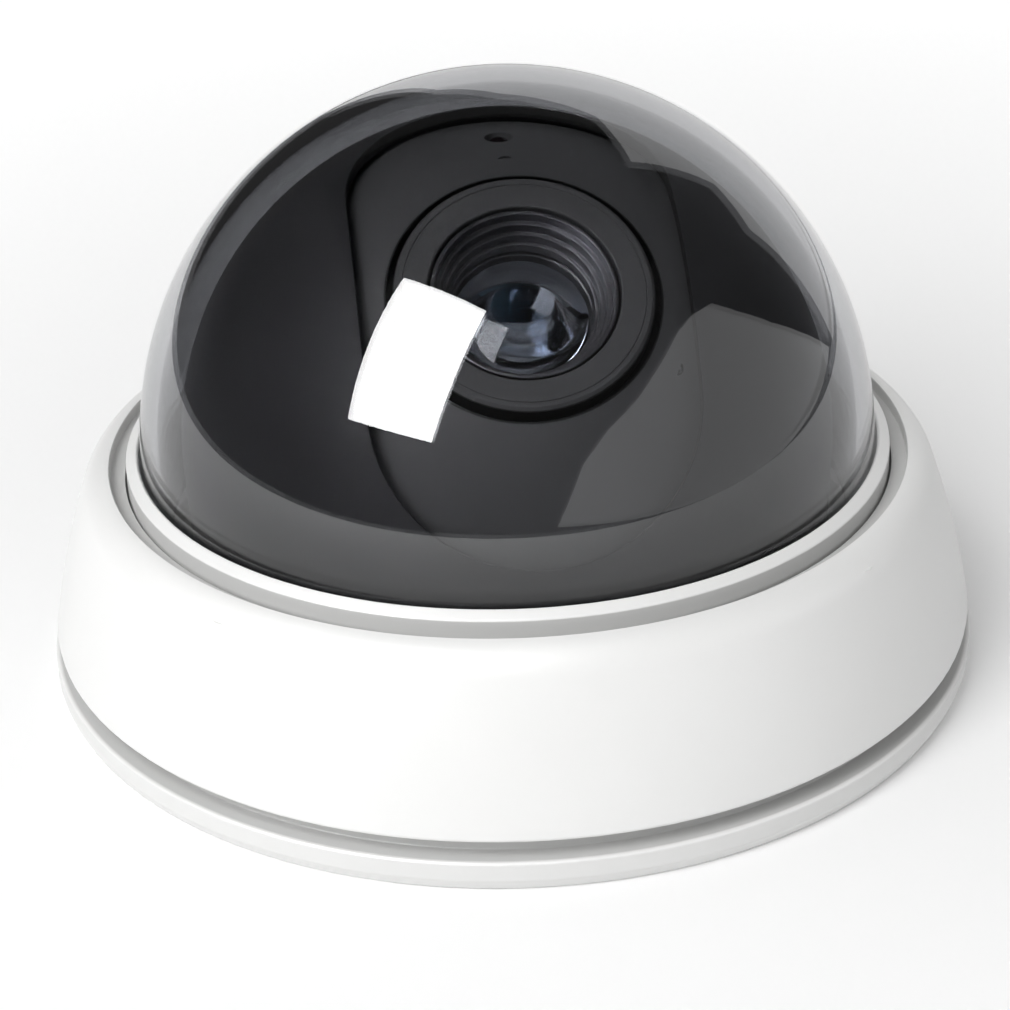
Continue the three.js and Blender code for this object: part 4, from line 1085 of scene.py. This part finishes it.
# ---------------------------------------------------------------- stage
CAMERA_AT = Vector((-0.03286, -0.31002, 0.18137))
CAMERA_LOOKS_AT = Vector((-0.00056, 0.0, 0.01849))
CAMERA_ROLL = -1.77  # degrees
CAMERA_LENS = 96.28  # millimetres on a 36 mm sensor
KEY_AZIMUTH = -43.8  # degrees from the front, positive to the right
KEY_ELEVATION = 42.8
KEY_DISTANCE = 0.9
KEY_SIZE = (0.45, 0.69)
KEY_AIM = Vector((0, 0, 0.04))
KEY_GAIN_INSIDE = 12  # how much brighter the key's face is seen from inside the dome
CEILING = ((2.4, 1.8), (0, 0.7, 1.5), 9)  # size, place and glow of the card that only the lens shows
TABLE_RADIUS = 0.43
FLOOR_RADIUS = 6.0
FLOOR_DROP = 0.0002
# Painted shade: the table's glow is weakest close to the part, so the floor round it is darker where its shadow
# falls
GLOW_REACH = (0.06, 0.3)  # from where to where the table's glow grows
GLOW_SHARE = (0.45, 1.9)  # and from what share to what share of its setting
# White sheets that the dome mirrors: azimuth, distance, glow, and (sideways, height) corners in metres
SHEETS = {
    "back_sheet": (152, 0.46, 0.9, (
        (-0.299, 0.0), (-0.292, 0.26), (-0.186, 0.285), (-0.15, 0.544), (-0.056, 0.449),
        (0.016, 0.37), (0.177, 0.34), (0.266, 0.25), (0.31, 0.0),
    )),
    "front_sheet": (62, 0.425, 0.9, (
        (-0.606, 0.0), (-0.44, 0.19), (-0.32, 0.247), (-0.196, 0.274), (-0.094, 0.31), (0.008, 0.345),
        (0.078, 0.35), (0.152, 0.334), (0.205, 0.266), (0.286, 0.188), (0.396, 0.112), (0.584, 0.0),
    )),
}


def direction(azimuth, elevation):
    """A unit vector: azimuth from -Y towards +X, elevation above the floor."""
    a, e = math.radians(azimuth), math.radians(elevation)
    return Vector((math.sin(a) * math.cos(e), -math.cos(a) * math.cos(e), math.sin(e)))


def not_scattered(tree, strength):
    """strength, but nothing on paths that a matt surface has scattered."""
    path = add(tree, "LightPath")
    clear = add(tree, "Math", {0: path.outputs["Diffuse Depth"], 1: 0.5}, operation="LESS_THAN")
    return times(tree, clear.outputs[0], strength)


def glowing(obj, strength, inside, walls=4):
    """Makes obj a glow that only polished surfaces show, with its own strength past that many glass faces."""
    def build(tree):
        path = add(tree, "LightPath")
        within = add(tree, "Math", {0: path.outputs["Transmission Depth"], 1: walls - 0.5}, operation="GREATER_THAN")
        gain = add(tree, "MapRange", {"Value": within.outputs[0], "To Min": strength, "To Max": inside})
        glow = not_scattered(tree, gain.outputs["Result"])
        return add(tree, "Emission", {"Strength": glow}).outputs["Emission"]
    obj.data.materials.append(material(obj.name, build))
    obj.visible_camera = False
    obj.visible_diffuse = False
    obj.visible_shadow = False


def card(name, size, location, rotation, strength, inside, walls=4):
    """A glowing card, seen only in polished surfaces."""
    bpy.ops.object.select_all(action="DESELECT")
    bpy.ops.mesh.primitive_plane_add(size=1, location=location, rotation=rotation)
    obj = bpy.context.object
    obj.name = name
    obj.scale = (*size, 1)
    glowing(obj, strength, inside, walls)


def standing_sheet(name, azimuth, distance, strength, outline):
    """A sheet that stands round the table facing the part."""
    middle = direction(azimuth, 0) * distance
    side = direction(azimuth + 90, 0)
    obj = drawn(name, [middle + side * across + Vector((0, 0, height)) for across, height in outline], closed=True)
    bpy.ops.mesh.edge_face_add()
    bpy.ops.object.mode_set(mode="OBJECT")
    glowing(obj, strength, strength)


def build_camera():
    bpy.ops.object.camera_add(location=CAMERA_AT)
    camera = bpy.context.object
    look = (CAMERA_LOOKS_AT - CAMERA_AT).to_track_quat("-Z", "Y")
    camera.rotation_euler = (look.to_matrix() @ Matrix.Rotation(math.radians(CAMERA_ROLL), 3, "Z")).to_euler()
    camera.data.lens = CAMERA_LENS
    camera.data.sensor_width = 36
    camera.data.clip_start = 0.01
    camera.data.clip_end = 30
    bpy.context.scene.camera = camera


def mirrored(tree):
    """One on paths that have been reflected by a polished surface before any matt one, else nought."""
    path = add(tree, "LightPath")
    reflected = add(tree, "Math", {0: path.outputs["Glossy Depth"], 1: 0.5}, operation="GREATER_THAN")
    return not_scattered(tree, reflected.outputs[0])


def unlit(tree):
    """What polished surfaces reflect of the room beyond the lit table."""
    return add(tree, "Emission", {"Strength": settings("dome_stage").room}).outputs["Emission"]


def paper(tree):
    """Seamless paper: matt and pale with a trace of fibre, and a glow that is weaker near the part as painted shade
    round it.
    """
    place = add(tree, "TexCoord").outputs["Object"]
    fibre = add(tree, "TexNoise", {"Vector": place, "Scale": per_mm(2)})
    dark, light = shades((*settings("dome_stage").floor_colour, 1.0), 0.005)
    radius = polar(tree, place)[0]
    (near, far), (least, most) = GLOW_REACH, GLOW_SHARE
    share = add(tree, "MapRange", {
        "Value": radius, "From Min": near, "From Max": far, "To Min": least, "To Max": most})
    # painted shade: less glow near the part darkens the floor where its shadow falls
    glow = not_scattered(tree, times(tree, share.outputs["Result"], settings("dome_stage").table_glow))
    blend = add(tree, "ValToRGB", {"Fac": fibre.outputs["Fac"]}, ramp=((0, dark), (1, light)))
    return add(tree, "BsdfPrincipled", {
        "Base Color": blend.outputs["Color"], "Roughness": 0.9, "Specular IOR Level": 0.2,
        "Emission Color": (1, 1, 1, 1), "Emission Strength": glow,
    }).outputs["BSDF"]


def far_paper(tree):
    """The same paper where it lies outside the lit table: dark in polished surfaces."""
    return add(tree, "MixShader", {0: mirrored(tree), 1: paper(tree), 2: unlit(tree)}).outputs[0]


def build_floor():
    """A pale table top under the part and the wide floor round it, all but level with each other."""
    for name, radius, height, build in (
            ("table_top", TABLE_RADIUS, 0.0, paper), ("wide_floor", FLOOR_RADIUS, -FLOOR_DROP, far_paper)):
        bpy.ops.object.select_all(action="DESELECT")
        bpy.ops.mesh.primitive_circle_add(vertices=96, radius=radius, fill_type="NGON", location=(0, 0, height))
        obj = bpy.context.object
        obj.name = name
        obj.data.materials.append(material(name, build))


def build_world():
    """Pale all round as soft light, dark in reflections as an unlit room is."""
    world = bpy.data.worlds.new("studio")
    bpy.context.scene.world = world
    world.use_nodes = True
    tree = world.node_tree
    tree.nodes.clear()
    light = settings("dome_stage")
    pale = add(tree, "Background", {"Color": (1, 1, 1, 1), "Strength": light.fill})
    dark = add(tree, "Background", {"Color": (1, 1, 1, 1), "Strength": light.room})
    mix = add(tree, "MixShader", {0: mirrored(tree), 1: pale.outputs[0], 2: dark.outputs[0]})
    add(tree, "OutputWorld", {"Surface": mix.outputs[0]})


def build_lights():
    where = KEY_AIM + direction(KEY_AZIMUTH, KEY_ELEVATION) * KEY_DISTANCE
    bpy.ops.object.light_add(type="AREA", location=where)
    key = bpy.context.object
    key.name = "key_softbox"
    key.data.shape = "RECTANGLE"
    key.data.size, key.data.size_y = KEY_SIZE
    key.data.energy = settings("dome_stage").key_power
    key.rotation_euler = (KEY_AIM - where).to_track_quat("-Z", "Y").to_euler()
    glare = settings("dome_stage").key_glare
    front = where - direction(KEY_AZIMUTH, KEY_ELEVATION) * 0.002
    card("key_face", KEY_SIZE, front, key.rotation_euler, glare, glare * KEY_GAIN_INSIDE)
    size, place, glow = CEILING
    card("ceiling", size, place, (math.pi, 0, 0), 0, glow, walls=6)


def build_stage():
    build_camera()
    build_world()
    build_floor()
    build_lights()
    for name, sheet in SHEETS.items():
        standing_sheet(name, *sheet)
    bpy.context.scene.view_settings.view_transform = "Standard"


# ---------------------------------------------------------------- operators
class DOMECAM_OT_stage(bpy.types.Operator):
    """Sets up the camera, the pale floor and the soft light"""
    bl_idname = "domecam.stage"
    bl_label = "Stage"

    def execute(self, context):
        build_stage()
        return {"FINISHED"}


class DOMECAM_OT_base_plate(bpy.types.Operator):
    """Moulds the base plate with its rim, neck, hub and mounting slots"""
    bl_idname = "domecam.base_plate"
    bl_label = "Base plate"

    def execute(self, context):
        build_base_plate()
        return {"FINISHED"}


class DOMECAM_OT_cable_grommet(bpy.types.Operator):
    """Moulds the rubber grommet in the hub"""
    bl_idname = "domecam.cable_grommet"
    bl_label = "Cable grommet"

    def execute(self, context):
        build_cable_grommet()
        return {"FINISHED"}


class DOMECAM_OT_pan_bearing(bpy.types.Operator):
    """Makes the pan washer and its retaining clip"""
    bl_idname = "domecam.pan_bearing"
    bl_label = "Pan washer and clip"

    def execute(self, context):
        build_pan_bearing()
        return {"FINISHED"}


class DOMECAM_OT_cover_shell(bpy.types.Operator):
    """Moulds the white cover with its rolled shoulder, groove and screw bosses"""
    bl_idname = "domecam.cover_shell"
    bl_label = "Cover shell"

    def execute(self, context):
        build_cover_shell()
        return {"FINISHED"}


class DOMECAM_OT_dome_ring(bpy.types.Operator):
    """Moulds the white ring round the dome, and its seal"""
    bl_idname = "domecam.dome_ring"
    bl_label = "Dome ring and seal"

    def execute(self, context):
        build_dome_ring()
        build_dome_seal()
        return {"FINISHED"}


class DOMECAM_OT_dome(bpy.types.Operator):
    """Moulds the smoked dome"""
    bl_idname = "domecam.dome"
    bl_label = "Dome"

    def execute(self, context):
        build_dome()
        return {"FINISHED"}


class DOMECAM_OT_dome_clamp(bpy.types.Operator):
    """Moulds the clamp that holds the dome"""
    bl_idname = "domecam.dome_clamp"
    bl_label = "Dome clamp"

    def execute(self, context):
        build_dome_clamp()
        return {"FINISHED"}


class DOMECAM_OT_turntable(bpy.types.Operator):
    """Moulds the turntable with its stop tab and screw holes"""
    bl_idname = "domecam.turntable"
    bl_label = "Turntable"

    def execute(self, context):
        build_turntable()
        return {"FINISHED"}


class DOMECAM_OT_liner(bpy.types.Operator):
    """Moulds the dark liner with the slot the lens looks out of"""
    bl_idname = "domecam.liner"
    bl_label = "Liner"

    def execute(self, context):
        build_liner()
        return {"FINISHED"}


class DOMECAM_OT_eyeball(bpy.types.Operator):
    """Moulds the tilting eyeball shell"""
    bl_idname = "domecam.eyeball"
    bl_label = "Eyeball"

    def execute(self, context):
        build_eyeball()
        return {"FINISHED"}


class DOMECAM_OT_indicator_lamp(bpy.types.Operator):
    """Casts the indicator lamp"""
    bl_idname = "domecam.indicator_lamp"
    bl_label = "Indicator lamp"

    def execute(self, context):
        build_indicator_lamp()
        return {"FINISHED"}


class DOMECAM_OT_bezel(bpy.types.Operator):
    """Turns the bezel and the stepped lens hood"""
    bl_idname = "domecam.bezel"
    bl_label = "Bezel and hood"

    def execute(self, context):
        build_bezel()
        build_lens_hood()
        return {"FINISHED"}


class DOMECAM_OT_lens(bpy.types.Operator):
    """Grinds the lens glass and turns its cells"""
    bl_idname = "domecam.lens"
    bl_label = "Lens glass and cells"

    def execute(self, context):
        build_lens_glass()
        build_lens_cells()
        return {"FINISHED"}


class DOMECAM_OT_carried(bpy.types.Operator):
    """Gives the carried-over pieces their materials"""
    bl_idname = "domecam.carried"
    bl_label = "Carried-over pieces"

    def execute(self, context):
        paint_carried()
        return {"FINISHED"}


STEPS = (
    DOMECAM_OT_stage, DOMECAM_OT_base_plate, DOMECAM_OT_cable_grommet, DOMECAM_OT_pan_bearing,
    DOMECAM_OT_cover_shell, DOMECAM_OT_dome_ring, DOMECAM_OT_dome, DOMECAM_OT_dome_clamp,
    DOMECAM_OT_turntable, DOMECAM_OT_liner, DOMECAM_OT_eyeball, DOMECAM_OT_indicator_lamp,
    DOMECAM_OT_bezel, DOMECAM_OT_lens, DOMECAM_OT_carried,
)


class DOMECAM_PT_panel(bpy.types.Panel):
    """The build steps and their settings"""
    bl_idname = "DOMECAM_PT_panel"
    bl_label = "Dome Camera"
    bl_space_type = "VIEW_3D"
    bl_region_type = "UI"
    bl_category = "Dome Camera"

    def draw(self, context):
        for name, group in SETTINGS.items():
            box = self.layout.box()
            for field in group.__annotations__:
                box.prop(getattr(context.scene, name), field)
        for step in STEPS:
            self.layout.operator(step.bl_idname)


def register():
    for group in SETTINGS.values():
        bpy.utils.register_class(group)
    for step in STEPS:
        bpy.utils.register_class(step)
    bpy.utils.register_class(DOMECAM_PT_panel)
    for name, group in SETTINGS.items():
        setattr(bpy.types.Scene, name, bpy.props.PointerProperty(type=group))


def unregister():
    for name in SETTINGS:
        delattr(bpy.types.Scene, name)
    bpy.utils.unregister_class(DOMECAM_PT_panel)
    for step in reversed(STEPS):
        bpy.utils.unregister_class(step)
    for group in SETTINGS.values():
        bpy.utils.unregister_class(group)


def main():
    register()
    for step in STEPS:
        family, name = step.bl_idname.split(".")
        getattr(getattr(bpy.ops, family), name)()


if __name__ == "__main__":
    main()
